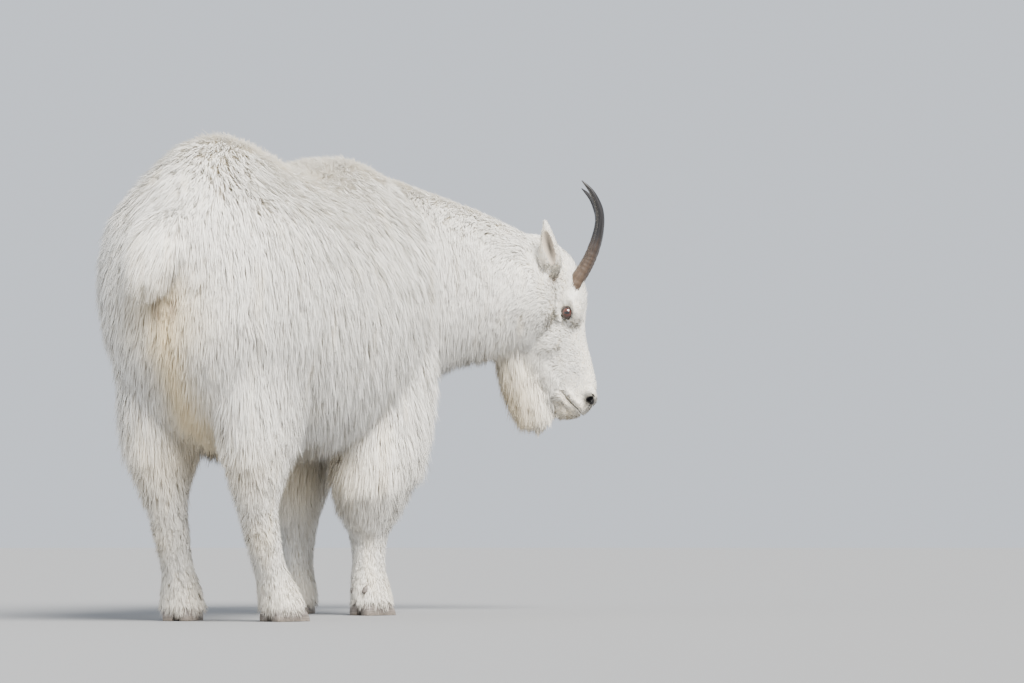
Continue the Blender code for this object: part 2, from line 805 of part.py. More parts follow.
def placed(obj, matrix):
    obj.data.transform(matrix)
    return obj


def finish(obj, name, slot):
    obj.name = name
    obj.data.name = name
    if slot not in bpy.data.materials:
        colour, rough = COLOURS[slot]
        material = bpy.data.materials.new(slot)
        material.use_nodes = True
        shader = material.node_tree.nodes["Principled BSDF"]
        shader.inputs["Base Color"].default_value = colour
        shader.inputs["Roughness"].default_value = rough
        shader.inputs["Metallic"].default_value = 0.0
    obj.data.materials.clear()
    obj.data.materials.append(bpy.data.materials[slot])
    obj.data.transform(Matrix.Translation(-MIDDLE_OF_BOX))
    obj.data.shade_smooth()
    obj.data.set_sharp_from_angle(angle=math.radians(40))


def main():
    clear_scene()
    rng = random.Random(SEED)
    at_head = head_place()
    goat = core()
    skull = placed(head(), at_head)
    joined = lock_objects(goat, body_kind, body_lie, rng)
    joined += lock_objects(skull, head_kind, head_lie, rng)
    joined.append(skull)
    taken = [placed(mouth(), at_head)]
    for side in (1, -1):
        joined.append(placed(ear(side), at_head))
        joined.append(placed(lids(side), at_head))
        taken.append(placed(ear_cup(side), at_head))
        taken.append(placed(nostril(side), at_head))
        taken.append(placed(eye(side, GAP), at_head))
        taken.append(placed(horn(side, GAP), at_head))
    for name in FEET:
        for side in (1, -1):
            taken.append(claw(name, side, GAP))
            taken.append(dewclaw(name, side, GAP))
    combine(goat, joined, "UNION")
    without_folds_in(goat)
    thinned(goat, JOINED_TRIANGLES)
    combine(goat, taken, "DIFFERENCE")
    for name, piece in parted(goat).items():
        finish(piece, name, "coat")
    for side, word in ((1, "left"), (-1, "right")):
        finish(placed(eye(side), at_head), f"eye_{word}", "eye")
        finish(placed(horn(side), at_head), f"horn_{word}", "horn")
    for name in FEET:
        for side, word in ((1, "a"), (-1, "b")):
            finish(claw(name, side), f"claw_{name}_{word}", "hoof")
            finish(dewclaw(name, side), f"dewclaw_{name}_{word}", "hoof")


main()
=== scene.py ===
"""A life-size white mountain goat, dressed over its solid frame.

One skin stands for the solid flesh, a coat of fine tufts lies along it, and the eyes, horns and hooves are
pieces of their own. Sizes are in metres. The goat faces -Y, its right side is -X and the floor is z = 0.
"""

import math

import bmesh
import bpy
import numpy as np
from bpy.props import FloatProperty, FloatVectorProperty, IntProperty, PointerProperty
from mathutils import Matrix, Vector
from mathutils.bvhtree import BVHTree
from mathutils.kdtree import KDTree


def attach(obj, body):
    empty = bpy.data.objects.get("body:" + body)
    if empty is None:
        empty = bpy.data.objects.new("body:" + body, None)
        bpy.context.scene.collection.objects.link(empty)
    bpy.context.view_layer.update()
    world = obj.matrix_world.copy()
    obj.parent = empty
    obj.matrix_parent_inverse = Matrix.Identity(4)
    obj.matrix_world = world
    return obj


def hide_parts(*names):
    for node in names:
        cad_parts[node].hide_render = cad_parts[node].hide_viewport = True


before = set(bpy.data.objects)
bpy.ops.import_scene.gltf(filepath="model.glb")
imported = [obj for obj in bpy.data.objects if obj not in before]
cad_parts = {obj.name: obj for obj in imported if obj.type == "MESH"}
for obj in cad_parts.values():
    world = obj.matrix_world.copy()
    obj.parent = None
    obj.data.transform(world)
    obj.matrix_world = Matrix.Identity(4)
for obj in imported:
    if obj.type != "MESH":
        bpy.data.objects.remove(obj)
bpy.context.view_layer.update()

bl_info = {
    "name": "Mountain Goat",
    "version": (1, 0, 0),
    "blender": (4, 5, 0),
    "location": "View3D > Sidebar > Goat",
    "description": "Dresses a solid mountain goat with its skin, coat, eyes, horns and hooves",
    "category": "Object",
}

X = Vector((1, 0, 0))
Y = Vector((0, 1, 0))
Z = Vector((0, 0, 1))
SIDES = ((1, "left"), (-1, "right"))

# The tables below stand in the goat's own places, which this point moves to the frame's origin
MIDDLE_OF_BOX = Vector((-0.1023, -0.1282, 0.0))

# Trunk out to the tips: place along Y, top, widest height, bottom and half width
TRUNK = [
    (0.468, 0.705, 0.600, 0.500, 0.085),
    (0.440, 0.782, 0.600, 0.420, 0.148),
    (0.370, 0.858, 0.600, 0.345, 0.200),
    (0.280, 0.892, 0.590, 0.305, 0.218),
    (0.180, 0.886, 0.580, 0.292, 0.224),
    (0.060, 0.856, 0.570, 0.290, 0.222),
    (-0.050, 0.860, 0.570, 0.295, 0.220),
    (-0.180, 0.896, 0.575, 0.315, 0.220),
    (-0.300, 0.914, 0.585, 0.335, 0.212),
    (-0.400, 0.908, 0.600, 0.362, 0.196),
    (-0.480, 0.862, 0.610, 0.405, 0.160),
    (-0.535, 0.775, 0.620, 0.480, 0.100),
]
TRUNK_DEPTH = 0.030
BACK_DEPTH = 0.026
BACK_NARROWS = 0.10
RUMP_NARROWS = 0.17
RIDGE_HEIGHTS = (0.69, 0.81)

# Neck out to the tips: centre of each ring, half width, height above the centre and depth below it
NECK = [
    ((0.000, -0.340, 0.640), 0.180, 0.254, 0.250),
    ((-0.015, -0.430, 0.655), 0.170, 0.240, 0.240),
    ((-0.085, -0.530, 0.665), 0.148, 0.210, 0.194),
    ((-0.165, -0.595, 0.665), 0.120, 0.178, 0.160),
    ((-0.235, -0.635, 0.665), 0.096, 0.148, 0.144),
    ((-0.290, -0.660, 0.660), 0.096, 0.116, 0.145),
    ((-0.335, -0.678, 0.650), 0.080, 0.088, 0.110),
]
NECK_DEPTH = 0.024

# Legs out to the tips: each ring's height, place across and along, half width, reach behind and in front
HIND_LEG = [
    (0.600, 0.100, 0.250, 0.106, 0.160, 0.160),
    (0.500, 0.098, 0.262, 0.094, 0.158, 0.165),
    (0.420, 0.094, 0.272, 0.080, 0.143, 0.155),
    (0.340, 0.092, 0.282, 0.074, 0.120, 0.130),
    (0.270, 0.090, 0.285, 0.064, 0.096, 0.100),
    (0.225, 0.087, 0.280, 0.048, 0.066, 0.068),
    (0.190, 0.086, 0.270, 0.034, 0.044, 0.045),
    (0.160, 0.086, 0.258, 0.030, 0.038, 0.040),
    (0.120, 0.086, 0.240, 0.028, 0.033, 0.034),
    (0.080, 0.088, 0.218, 0.029, 0.034, 0.034),
    (0.050, 0.091, 0.202, 0.036, 0.039, 0.044),
    (0.028, 0.093, 0.194, 0.040, 0.043, 0.050),
    (0.014, 0.093, 0.192, 0.040, 0.043, 0.050),
]
FORE_LEG = [
    (0.600, 0.108, -0.350, 0.088, 0.130, 0.130),
    (0.500, 0.106, -0.340, 0.092, 0.130, 0.125),
    (0.420, 0.102, -0.330, 0.097, 0.145, 0.118),
    (0.340, 0.098, -0.318, 0.098, 0.158, 0.110),
    (0.270, 0.093, -0.306, 0.094, 0.160, 0.102),
    (0.220, 0.086, -0.300, 0.072, 0.122, 0.080),
    (0.178, 0.080, -0.298, 0.040, 0.056, 0.044),
    (0.140, 0.079, -0.298, 0.032, 0.038, 0.036),
    (0.090, 0.080, -0.298, 0.030, 0.034, 0.033),
    (0.055, 0.083, -0.302, 0.036, 0.040, 0.042),
    (0.028, 0.086, -0.308, 0.040, 0.044, 0.050),
    (0.014, 0.086, -0.309, 0.040, 0.044, 0.050),
]
LEG_DEPTH = 0.026
SHANK_DEPTH = 0.005
SHANK_TOP = 0.165
PANTS_FROM = 0.250

# Feet: how far each stands from its ring table's place, across and along, and its turn outward
FEET = {
    "hind_left": (-0.004, 0.010, 4.0),
    "hind_right": (0.012, 0.000, 24.0),
    "fore_left": (0.014, -0.040, 6.0),
    "fore_right": (0.004, 0.040, 24.0),
}
STANCE_FROM_HEIGHT = 0.45

# Claws, in the foot's frame: place forward of the foot, top, height of the widest point and half width
CLAW = [
    (-0.034, 0.022, 0.008, 0.0085),
    (-0.022, 0.030, 0.008, 0.0125),
    (0.000, 0.034, 0.008, 0.0140),
    (0.022, 0.030, 0.007, 0.0130),
    (0.038, 0.020, 0.006, 0.0100),
    (0.047, 0.009, 0.004, 0.0050),
]
CLAW_APART = 0.0160
DEWCLAW_SIZE = (0.0058, 0.0050, 0.0090)
DEWCLAW_AT = (0.0160, 0.0320, 0.0500)

# Tail out to the tips: centre, half width, thickness behind and in front
TAIL = [
    ((-0.006, 0.425, 0.722), 0.036, 0.020, 0.030),
    ((-0.002, 0.458, 0.700), 0.046, 0.026, 0.030),
    ((0.004, 0.482, 0.668), 0.054, 0.030, 0.028),
    ((0.010, 0.494, 0.632), 0.052, 0.028, 0.026),
    ((0.016, 0.498, 0.602), 0.040, 0.022, 0.020),
    ((0.020, 0.498, 0.585), 0.018, 0.012, 0.010),
]
TAIL_SKIN = (0.80, 0.9, 0.8)

# Head in its own frame, facing -Y with its poll at the origin: place forward, top, widest, bottom, half width
HEAD = [
    (-0.024, -0.010, -0.050, -0.095, 0.038),
    (0.000, 0.016, -0.045, -0.130, 0.066),
    (0.030, 0.040, -0.042, -0.145, 0.072),
    (0.080, 0.054, -0.034, -0.150, 0.070),
    (0.120, 0.054, -0.022, -0.150, 0.063),
    (0.150, 0.044, -0.018, -0.146, 0.056),
    (0.180, 0.036, -0.022, -0.138, 0.050),
    (0.215, 0.031, -0.026, -0.124, 0.044),
    (0.250, 0.030, -0.028, -0.106, 0.038),
    (0.285, 0.031, -0.028, -0.088, 0.035),
    (0.312, 0.029, -0.026, -0.076, 0.035),
    (0.336, 0.018, -0.026, -0.070, 0.032),
    (0.352, 0.004, -0.028, -0.064, 0.026),
    (0.360, -0.010, -0.030, -0.052, 0.016),
]
HEAD_AT = Vector((-0.305, -0.686, 0.752))
HEAD_TURN = math.radians(75.7)
HEAD_PITCH = math.radians(75.0)
HEAD_ROLL = math.radians(4.0)
FACE_DEPTH = 0.003

# Swells of the head: place across, forward and up, and radii; each is mirrored
SWELLS = [
    ((0.031, 0.146, 0.014), (0.0225, 0.036, 0.021)),
    ((0.032, 0.175, -0.046), (0.019, 0.054, 0.038)),
    ((0.019, 0.328, 0.008), (0.011, 0.018, 0.013)),
    ((0.016, 0.336, -0.020), (0.016, 0.020, 0.014)),
    ((0.010, 0.340, -0.050), (0.015, 0.016, 0.012)),
]

# Folds of the face: a line of places across, forward and up, and its thickness; each is mirrored
FOLDS = [
    ([(0.05, 0.128, 0.016), (0.0555, 0.142, 0.0215), (0.0555, 0.16, 0.02), (0.049, 0.174, 0.013)], 0.0042),
    ([(0.0535, 0.138, -0.0095), (0.0555, 0.152, -0.0125), (0.052, 0.168, -0.0095)], 0.003),
    ([(0.034, 0.3, -0.036), (0.0335, 0.318, -0.03), (0.029, 0.338, -0.019), (0.016, 0.352, -0.01)], 0.0044),
    ([(0.033, 0.302, -0.054), (0.03, 0.324, -0.047), (0.023, 0.342, -0.035), (0.012, 0.352, -0.028)], 0.004),
    ([(0.019, 0.32, 0.013), (0.0235, 0.326, 0.015), (0.0225, 0.338, 0.0145), (0.018, 0.346, 0.008)], 0.0028),
]
BEARD_CORE = [
    ((0.000, 0.160, -0.118), 0.036, 0.026),
    ((0.000, 0.235, -0.112), 0.034, 0.036),
    ((0.000, 0.290, -0.104), 0.026, 0.036),
    ((0.000, 0.325, -0.096), 0.016, 0.026),
    ((0.000, 0.346, -0.084), 0.006, 0.009),
]

EYE_AT = Vector((0.0445, 0.152, 0.006))
EYE_RADIUS = 0.0150
EYE_GAP = 0.0003
EYE_BARE = (0.030, 0.0124, 0.0108)
EYE_LOOKS = (1.0, 0.10, -0.02)
CORNEA = 0.0105
CORNEA_BULGE = 0.0011
LID_OPENING = (0.0106, 0.0090)
LID_THICKNESS = 0.0008
LID_STATIONS = 48

# Section of a lid outward from its opening: share of the opening, and height over the eyeball
LID_PROFILE = [(0.95, -0.0004), (0.97, 0.0008), (1.04, 0.0013), (1.16, 0.001), (1.3, 0.0), (1.42, -0.003)]

NOSTRIL_AT = Vector((0.0225, 0.3350, 0.0060))
NOSTRIL_SIZE = (0.0062, 0.0112, 0.0088)
NOSTRIL_BARE = 0.0098
MOUTH = [(0.300, -0.046), (0.318, -0.040), (0.338, -0.029), (0.352, -0.021), (0.380, -0.012)]
MOUTH_HEIGHT = 0.0018
LIP_BARE = 0.0026
LIP_DARK = 0.0013
FOLD_STEPS = 9

# Horns in the head's frame: place across, forward and up, and radius
HORN = [
    (0.026, 0.108, 0.026, 0.0150),
    (0.028, 0.084, 0.050, 0.0145),
    (0.031, 0.056, 0.078, 0.0132),
    (0.035, 0.025, 0.101, 0.0122),
    (0.040, -0.005, 0.117, 0.0110),
    (0.045, -0.032, 0.124, 0.0096),
    (0.050, -0.055, 0.123, 0.0078),
    (0.054, -0.073, 0.119, 0.0058),
    (0.058, -0.088, 0.112, 0.0036),
    (0.061, -0.100, 0.105, 0.0010),
]
HORN_RINGS_END = 0.42
HORN_RING_COUNT = 13
HORN_STATIONS = 150
HORN_SIDES = 32

# Ears in the head's frame: place across, forward and up, half width and half thickness
EAR = [
    (0.040, 0.086, -0.006, 0.012, 0.009),
    (0.058, 0.070, -0.004, 0.017, 0.009),
    (0.071, 0.045, 0.000, 0.0245, 0.009),
    (0.080, 0.015, 0.004, 0.0185, 0.008),
    (0.085, -0.012, 0.008, 0.0105, 0.006),
    (0.088, -0.037, 0.011, 0.002, 0.002),
]
EAR_CUP = ((0.0915, 0.018, 0.006), (0.0125, 0.043, 0.0128))
EAR_CUP_TILT = math.radians(14)
EAR_CUP_EDGE = 1.07
EAR_SLIT = (0.036, 0.0065)

BODY_VOXEL = 0.008
HEAD_VOXEL = 0.0022

# The coat at places on the body: place, the way it lies, length, how far it stands off the skin, half
# width of a tuft and tufts per square centimetre. A row off the middle is mirrored, except on neck and tail.
COAT = {
    "trunk": [
        ((0.00, 0.33, 0.86), (0.0, 1.0, -0.3), 0.050, 0.018, 0.00086, 9),
        ((0.12, 0.33, 0.80), (0.25, 0.5, -0.9), 0.056, 0.020, 0.00086, 9),
        ((0.07, 0.44, 0.66), (0.15, 0.1, -1.0), 0.056, 0.016, 0.00086, 10),
        ((0.10, 0.42, 0.50), (0.05, 0.1, -1.0), 0.062, 0.019, 0.00086, 10),
        ((0.00, 0.455, 0.59), (0.0, 0.0, -1.0), 0.034, 0.010, 0.00078, 10),
        ((0.00, 0.42, 0.48), (0.0, 0.2, -1.0), 0.045, 0.014, 0.00078, 10),
        ((0.20, 0.30, 0.66), (0.05, 0.3, -1.0), 0.062, 0.019, 0.00086, 9),
        ((0.00, 0.12, 0.85), (0.0, 1.0, -0.1), 0.048, 0.019, 0.00086, 9),
        ((0.14, 0.12, 0.80), (0.3, 0.6, -0.8), 0.056, 0.021, 0.00086, 9),
        ((0.21, 0.10, 0.60), (0.0, 0.22, -1.0), 0.066, 0.022, 0.00086, 9),
        ((0.17, 0.10, 0.40), (0.0, 0.25, -1.0), 0.080, 0.024, 0.00086, 9),
        ((0.05, 0.05, 0.32), (0.1, 0.6, -0.7), 0.055, 0.019, 0.00086, 8),
        ((0.21, -0.08, 0.60), (0.0, 0.15, -1.0), 0.066, 0.022, 0.00086, 9),
        ((0.17, -0.08, 0.40), (0.0, 0.2, -1.0), 0.080, 0.024, 0.00086, 9),
        ((0.00, -0.05, 0.84), (0.0, 1.0, 0.0), 0.048, 0.019, 0.00086, 9),
        ((0.14, -0.05, 0.79), (0.3, 0.5, -0.8), 0.056, 0.021, 0.00086, 9),
        ((0.00, -0.28, 0.89), (0.0, 1.0, -0.1), 0.052, 0.018, 0.00086, 10),
        ((0.13, -0.28, 0.83), (0.3, 0.45, -0.8), 0.062, 0.024, 0.00086, 9),
        ((0.20, -0.28, 0.64), (0.0, 0.1, -1.0), 0.070, 0.025, 0.00086, 9),
        ((0.18, -0.30, 0.46), (0.0, 0.15, -1.0), 0.076, 0.025, 0.00086, 9),
        ((0.06, -0.52, 0.60), (0.1, 0.0, -1.0), 0.070, 0.024, 0.00086, 9),
        ((0.05, -0.45, 0.42), (0.0, 0.3, -1.0), 0.075, 0.024, 0.00086, 9),
        ((0.05, -0.20, 0.34), (0.1, 0.6, -0.7), 0.055, 0.019, 0.00086, 8),
    ],
    "legs": [
        ((0.17, 0.29, 0.43), (0.02, 0.2, -1.0), 0.060, 0.016, 0.00086, 11),
        ((0.12, 0.16, 0.40), (0.0, 0.1, -1.0), 0.066, 0.022, 0.00086, 11),
        ((0.12, 0.40, 0.36), (0.0, 0.1, -1.0), 0.072, 0.026, 0.00086, 11),
        ((0.02, 0.28, 0.36), (0.0, 0.05, -1.0), 0.050, 0.014, 0.00078, 11),
        ((0.15, 0.29, 0.26), (0.0, 0.0, -1.0), 0.036, 0.013, 0.00078, 12),
        ((0.10, 0.37, 0.25), (0.0, 0.0, -1.0), 0.036, 0.014, 0.00078, 12),
        ((0.04, 0.28, 0.24), (0.0, 0.0, -1.0), 0.032, 0.010, 0.00078, 12),
        ((0.18, -0.31, 0.36), (0.0, 0.1, -1.0), 0.072, 0.025, 0.00086, 11),
        ((0.11, -0.18, 0.32), (0.0, 0.2, -1.0), 0.078, 0.027, 0.00086, 11),
        ((0.11, -0.41, 0.36), (0.0, 0.1, -1.0), 0.060, 0.022, 0.00086, 11),
        ((0.02, -0.31, 0.34), (0.0, 0.1, -1.0), 0.050, 0.014, 0.00078, 11),
        ((0.15, -0.30, 0.24), (0.0, 0.0, -1.0), 0.036, 0.013, 0.00078, 12),
        ((0.10, -0.20, 0.23), (0.0, 0.1, -1.0), 0.040, 0.014, 0.00078, 12),
    ],
    "shanks": [
        ((0.09, 0.265, 0.185), (0.0, 0.0, -1.0), 0.022, 0.008, 0.00071, 24),
        ((0.09, 0.235, 0.115), (0.0, 0.1, -1.0), 0.019, 0.006, 0.00062, 30),
        ((0.095, 0.200, 0.055), (0.0, 0.1, -1.0), 0.024, 0.008, 0.00062, 30),
        ((0.100, 0.190, 0.024), (0.0, -0.1, -1.0), 0.022, 0.007, 0.00062, 34),
        ((0.084, -0.298, 0.185), (0.0, 0.0, -1.0), 0.022, 0.008, 0.00071, 24),
        ((0.083, -0.298, 0.115), (0.0, 0.1, -1.0), 0.019, 0.006, 0.00062, 30),
        ((0.088, -0.305, 0.055), (0.0, 0.1, -1.0), 0.024, 0.008, 0.00062, 30),
        ((0.090, -0.310, 0.024), (0.0, -0.1, -1.0), 0.022, 0.007, 0.00062, 34),
    ],
    "neck": [
        ((-0.03, -0.42, 0.87), (0.1, 0.8, -0.35), 0.038, 0.012, 0.00080, 13),
        ((-0.13, -0.56, 0.84), (0.45, 0.6, -0.45), 0.034, 0.009, 0.00075, 14),
        ((-0.24, -0.63, 0.79), (0.6, 0.35, -0.5), 0.030, 0.009, 0.00070, 15),
        ((-0.12, -0.42, 0.66), (0.1, 0.3, -1.0), 0.048, 0.017, 0.00075, 14),
        ((-0.20, -0.52, 0.68), (0.35, 0.25, -1.0), 0.044, 0.015, 0.00070, 15),
        ((-0.28, -0.60, 0.68), (0.3, 0.2, -1.0), 0.032, 0.009, 0.00070, 16),
        ((-0.22, -0.57, 0.53), (0.3, 0.2, -1.0), 0.044, 0.015, 0.00070, 15),
        ((-0.08, -0.55, 0.46), (0.2, 0.2, -1.0), 0.060, 0.022, 0.00080, 13),
        ((0.08, -0.52, 0.66), (0.3, 0.3, -1.0), 0.062, 0.024, 0.00080, 12),
        ((-0.08, -0.66, 0.66), (0.4, 0.1, -1.0), 0.052, 0.020, 0.00075, 13),
        ((-0.20, -0.72, 0.68), (0.4, 0.0, -1.0), 0.042, 0.015, 0.00070, 15),
    ],
    "tail": [
        ((0.00, 0.455, 0.735), (0.3, 0.5, -1.0), 0.058, 0.019, 0.00080, 15),
        ((0.004, 0.50, 0.67), (0.55, 0.25, -1.0), 0.068, 0.017, 0.00080, 18),
        ((0.016, 0.505, 0.60), (0.5, 0.0, -1.0), 0.055, 0.014, 0.00080, 22),
    ],
}

# The same on the head, in its own frame: across, forward and up
HEAD_COAT = {
    "face": [
        ((0.000, 0.000, 0.030), (0.0, -0.8, 0.4), 0.020, 0.005, 0.00055, 34),
        ((0.000, 0.072, 0.055), (0.0, -0.6, 0.8), 0.020, 0.007, 0.00055, 40),
        ((0.034, 0.122, 0.036), (0.2, -0.5, 0.7), 0.018, 0.007, 0.0005, 60),
        ((0.000, 0.128, 0.052), (0.1, -0.7, 0.6), 0.020, 0.008, 0.0006, 52),
        ((0.000, 0.220, 0.040), (0.1, -1.0, 0.1), 0.009, 0.003, 0.0005, 60),
        ((0.000, 0.320, 0.028), (0.1, -1.0, 0.0), 0.006, 0.002, 0.0005, 66),
        ((0.033, 0.310, -0.010), (0.1, -1.0, -0.2), 0.007, 0.002, 0.0005, 66),
        ((0.020, 0.345, -0.015), (0.2, -0.7, -0.6), 0.005, 0.002, 0.0005, 66),
        ((0.042, 0.240, -0.020), (0.0, -0.5, -0.85), 0.012, 0.004, 0.0006, 56),
        ((0.052, 0.190, -0.030), (0.0, -0.3, -0.95), 0.015, 0.005, 0.0006, 52),
        ((0.052, 0.152, 0.028), (0.0, -1.0, 0.3), 0.008, 0.0025, 0.0005, 60),
        ((0.062, 0.120, -0.060), (0.0, 0.15, -1.0), 0.024, 0.007, 0.00055, 38),
        ((0.055, 0.060, -0.100), (0.0, 0.3, -1.0), 0.034, 0.013, 0.00065, 30),
        ((0.062, 0.090, 0.000), (0.0, -0.45, -0.9), 0.018, 0.006, 0.0007, 44),
        ((0.060, 0.000, -0.050), (0.0, -0.1, -0.9), 0.030, 0.010, 0.00065, 30),
        ((0.050, 0.170, -0.090), (0.0, 0.95, -0.4), 0.040, 0.012, 0.00060, 36),
        ((0.042, 0.236, -0.086), (0.0, 0.95, -0.35), 0.038, 0.011, 0.00060, 38),
        ((0.015, 0.350, -0.042), (0.1, -0.7, -0.6), 0.006, 0.002, 0.0005, 66),
        ((0.000, 0.345, -0.064), (0.0, 0.8, -0.5), 0.014, 0.004, 0.0007, 50),
        ((0.036, 0.262, -0.072), (0.0, 0.95, -0.35), 0.026, 0.008, 0.00055, 42),
    ],
    "beard": [
        ((0.000, 0.325, -0.095), (0.0, 1.0, -0.35), 0.042, 0.010, 0.00075, 40),
        ((0.015, 0.280, -0.115), (0.0, 1.0, -0.15), 0.066, 0.014, 0.00075, 40),
        ((0.020, 0.220, -0.130), (0.0, 1.0, -0.12), 0.062, 0.016, 0.00075, 34),
        ((0.030, 0.150, -0.140), (0.0, 1.0, -0.20), 0.044, 0.015, 0.00075, 28),
        ((0.030, 0.080, -0.145), (0.0, 0.9, -0.4), 0.034, 0.011, 0.00075, 26),
    ],
    "ears": [
        ((0.058, 0.070, 0.004), (0.4, -1.0, 0.15), 0.008, 0.003, 0.0007, 46),
        ((0.058, 0.070, -0.014), (0.4, -1.0, 0.15), 0.008, 0.003, 0.0007, 46),
        ((0.070, 0.030, 0.022), (0.2, -1.0, 0.15), 0.008, 0.002, 0.0006, 60),
        ((0.074, 0.030, -0.018), (0.2, -1.0, 0.15), 0.008, 0.002, 0.0006, 60),
        ((0.085, -0.015, 0.010), (0.1, -1.0, 0.10), 0.008, 0.002, 0.0006, 60),
    ],
}
SHORT_COATS = {"shanks", "face", "ears"}
UNMIRRORED = {"neck", "tail"}

# Markings: frame, place, reach each way, what they are and how strong; those off the middle are mirrored. One
# of them, on the side of the muzzle, is painted shade: a blue-grey shadow, not a colour of the hair.
MARKINGS = [
    ("body", (0.0, 0.45, 0.56), (0.07, 0.08, 0.07), "cream", 0.75),
    ("body", (0.0, 0.42, 0.44), (0.030, 0.12, 0.12), "cream", 0.75),
    ("body", (0.0, 0.30, 0.36), (0.060, 0.16, 0.10), "cream", 0.65),
    ("body", (0.0, 0.05, 0.30), (0.12, 0.30, 0.05), "cream", 0.35),
    ("body", (0.10, 0.36, 0.26), (0.06, 0.06, 0.08), "cream", 0.30),
    ("body", (0.10, 0.30, 0.14), (0.03, 0.035, 0.045), "cream", 0.55),
    ("body", (0.06, -0.22, 0.28), (0.07, 0.08, 0.09), "cream", 0.35),
    ("body", (0.09, 0.22, 0.05), (0.08, 0.08, 0.05), "cream", 0.25),
    ("body", (0.09, -0.30, 0.05), (0.08, 0.08, 0.05), "cream", 0.25),
    ("body", (0.015, 0.46, 0.560), (0.010, 0.03, 0.018), "soil", 0.7),
    ("head", (0.0, 0.27, -0.140), (0.06, 0.13, 0.055), "cream", 0.80),
    ("head", (0.0, 0.345, -0.050), (0.04, 0.030, 0.022), "cream", 0.40),
    ("head", (0.056, 0.082, -0.006), (0.012, 0.014, 0.012), "soil", 0.65),
    # Painted shade: a blue-grey shadow on each side of the muzzle above the mouth
    ("head", (0.036, 0.285, 0.000), (0.012, 0.022, 0.016), "painted_shade", 0.35),
    ("head", (0.0235, 0.3350, 0.0060), (0.0112, 0.0112, 0.0102), "dark", 2.0),
    ("head", (0.0150, 0.3560, -0.0060), (0.0040, 0.0050, 0.0045), "dark", 0.5),
]
GROUND_SOIL = 0.045

CHANNELS = ("cream", "soil", "dark", "painted_shade")
COAT_TRIANGLES = 1_440_000
MOST_IN_PIECE = 195_000
ROWS_AT_ONCE = 20_000
SEED = 7

# Tufts: shares of the length at their rings and widths there, and how they grow
TUFT = ((0.0, 0.5, 1.0), (0.9, 0.9, 0.0))
LONG_TUFT = ((0.0, 0.36, 0.72, 1.0), (0.85, 1.0, 0.65, 0.0))
PATH_POINTS = 7
ROOT_DEPTH = 0.0015
LEADER_RISE = 0.010
CLUMPING = 0.18
UNDERCOAT = 0.40
STRAYS = 0.06
TUFT_ROLL = 0.38
SOFT_SHADING = 0.75
FLOOR_GAP = 0.0006
BAKE_PATCH = 0.003
# Colour of the painted shade on the sides of the muzzle
SHADE_GREY = (0.42, 0.43, 0.46)
BARE_BLACK = (0.012, 0.011, 0.012)

# Camera, placed to show the goat as the photo does
CAMERA_TURN = math.radians(19.3)
CAMERA_SHIFT_RIGHT = 0.546
CAMERA_AWAY = 5.5
CAMERA_FROM = Vector((0, 0.30, 0.15))
CAMERA_FOCAL_PIXELS = 3091
CAMERA_HORIZON = 537.7
PICTURE_SIZE = (1024, 683)
SENSOR = 36.0

# Lights: where each stands off the middle of the goat, to the right, ahead and up as the camera sees it
STAGE_MIDDLE = Vector((0, 0, 0.5))
FLOOR_RADIUS = 40.0
KEY_FROM = (0.55, -0.85, 1.05)
KEY_COLOUR = (1.0, 0.965, 0.90)
KEY_SOFTNESS = math.radians(34)
FILL_FROM = (-3.6, -3.0, 1.6)
FILL_COLOUR = (0.90, 0.95, 1.0)
FILL_POWER = 60.0
FILL_SIZE = 3.0
AIR_COLOUR = (0.62, 0.66, 0.72)
AIR_STRENGTH = 1.35


def colour(name, description, default):
    """A colour among the settings."""
    return FloatVectorProperty(
        name=name, description=description, default=default, subtype="COLOR", min=0, max=1
    )


def distance(name, description, default):
    """A distance among the settings."""
    return FloatProperty(
        name=name, description=description, default=default, unit="LENGTH", subtype="DISTANCE"
    )


class GoatCoatSettings(bpy.types.PropertyGroup):
    white: colour("White", "Colour of clean hair", (0.93, 0.91, 0.86))
    cream: colour("Cream", "Colour of stained hair and of the hair near its root", (0.86, 0.72, 0.47))
    soil: colour("Soil", "Colour of the dirt on the feet and at the ears' roots", (0.34, 0.25, 0.17))
    length: FloatProperty(
        name="Length", description="Length of the tufts, 1 in full coat", default=1.0, min=0.3, max=1.3
    )
    triangles: IntProperty(
        name="Triangles", description="Triangles in the whole coat", default=COAT_TRIANGLES, min=100_000
    )


class GoatEyeSettings(bpy.types.PropertyGroup):
    iris: colour("Iris", "Colour of the iris", (0.055, 0.016, 0.010))
    radius: distance("Radius", "Radius of the eyeball", EYE_RADIUS)


class GoatHornSettings(bpy.types.PropertyGroup):
    tip: colour("Tip", "Colour of the polished upper horn", (0.012, 0.011, 0.012))
    base: colour("Base", "Colour of the worn rings at the base", (0.085, 0.055, 0.036))
    ring_height: distance("Ring height", "How far the growth rings stand out", 0.0008)


class GoatHoofSettings(bpy.types.PropertyGroup):
    horn: colour("Horn", "Colour of the hooves", (0.11, 0.095, 0.085))


class GoatStageSettings(bpy.types.PropertyGroup):
    floor: colour("Floor", "Colour of the floor", (0.24, 0.243, 0.25))
    key: FloatProperty(name="Key light", description="Strength of the main light", default=11.0, min=0)


def link(name, mesh):
    obj = bpy.data.objects.new(name, mesh)
    bpy.context.scene.collection.objects.link(obj)
    return obj


def object_from(bm, name):
    bmesh.ops.recalc_face_normals(bm, faces=bm.faces)
    mesh = bpy.data.meshes.new(name)
    bm.to_mesh(mesh)
    bm.free()
    return link(name, mesh)


def settle(obj):
    """Applies the object's modifiers."""
    graph = bpy.context.evaluated_depsgraph_get()
    mesh = bpy.data.meshes.new_from_object(obj.evaluated_get(graph))
    obj.modifiers.clear()
    obj.data = mesh
    return obj


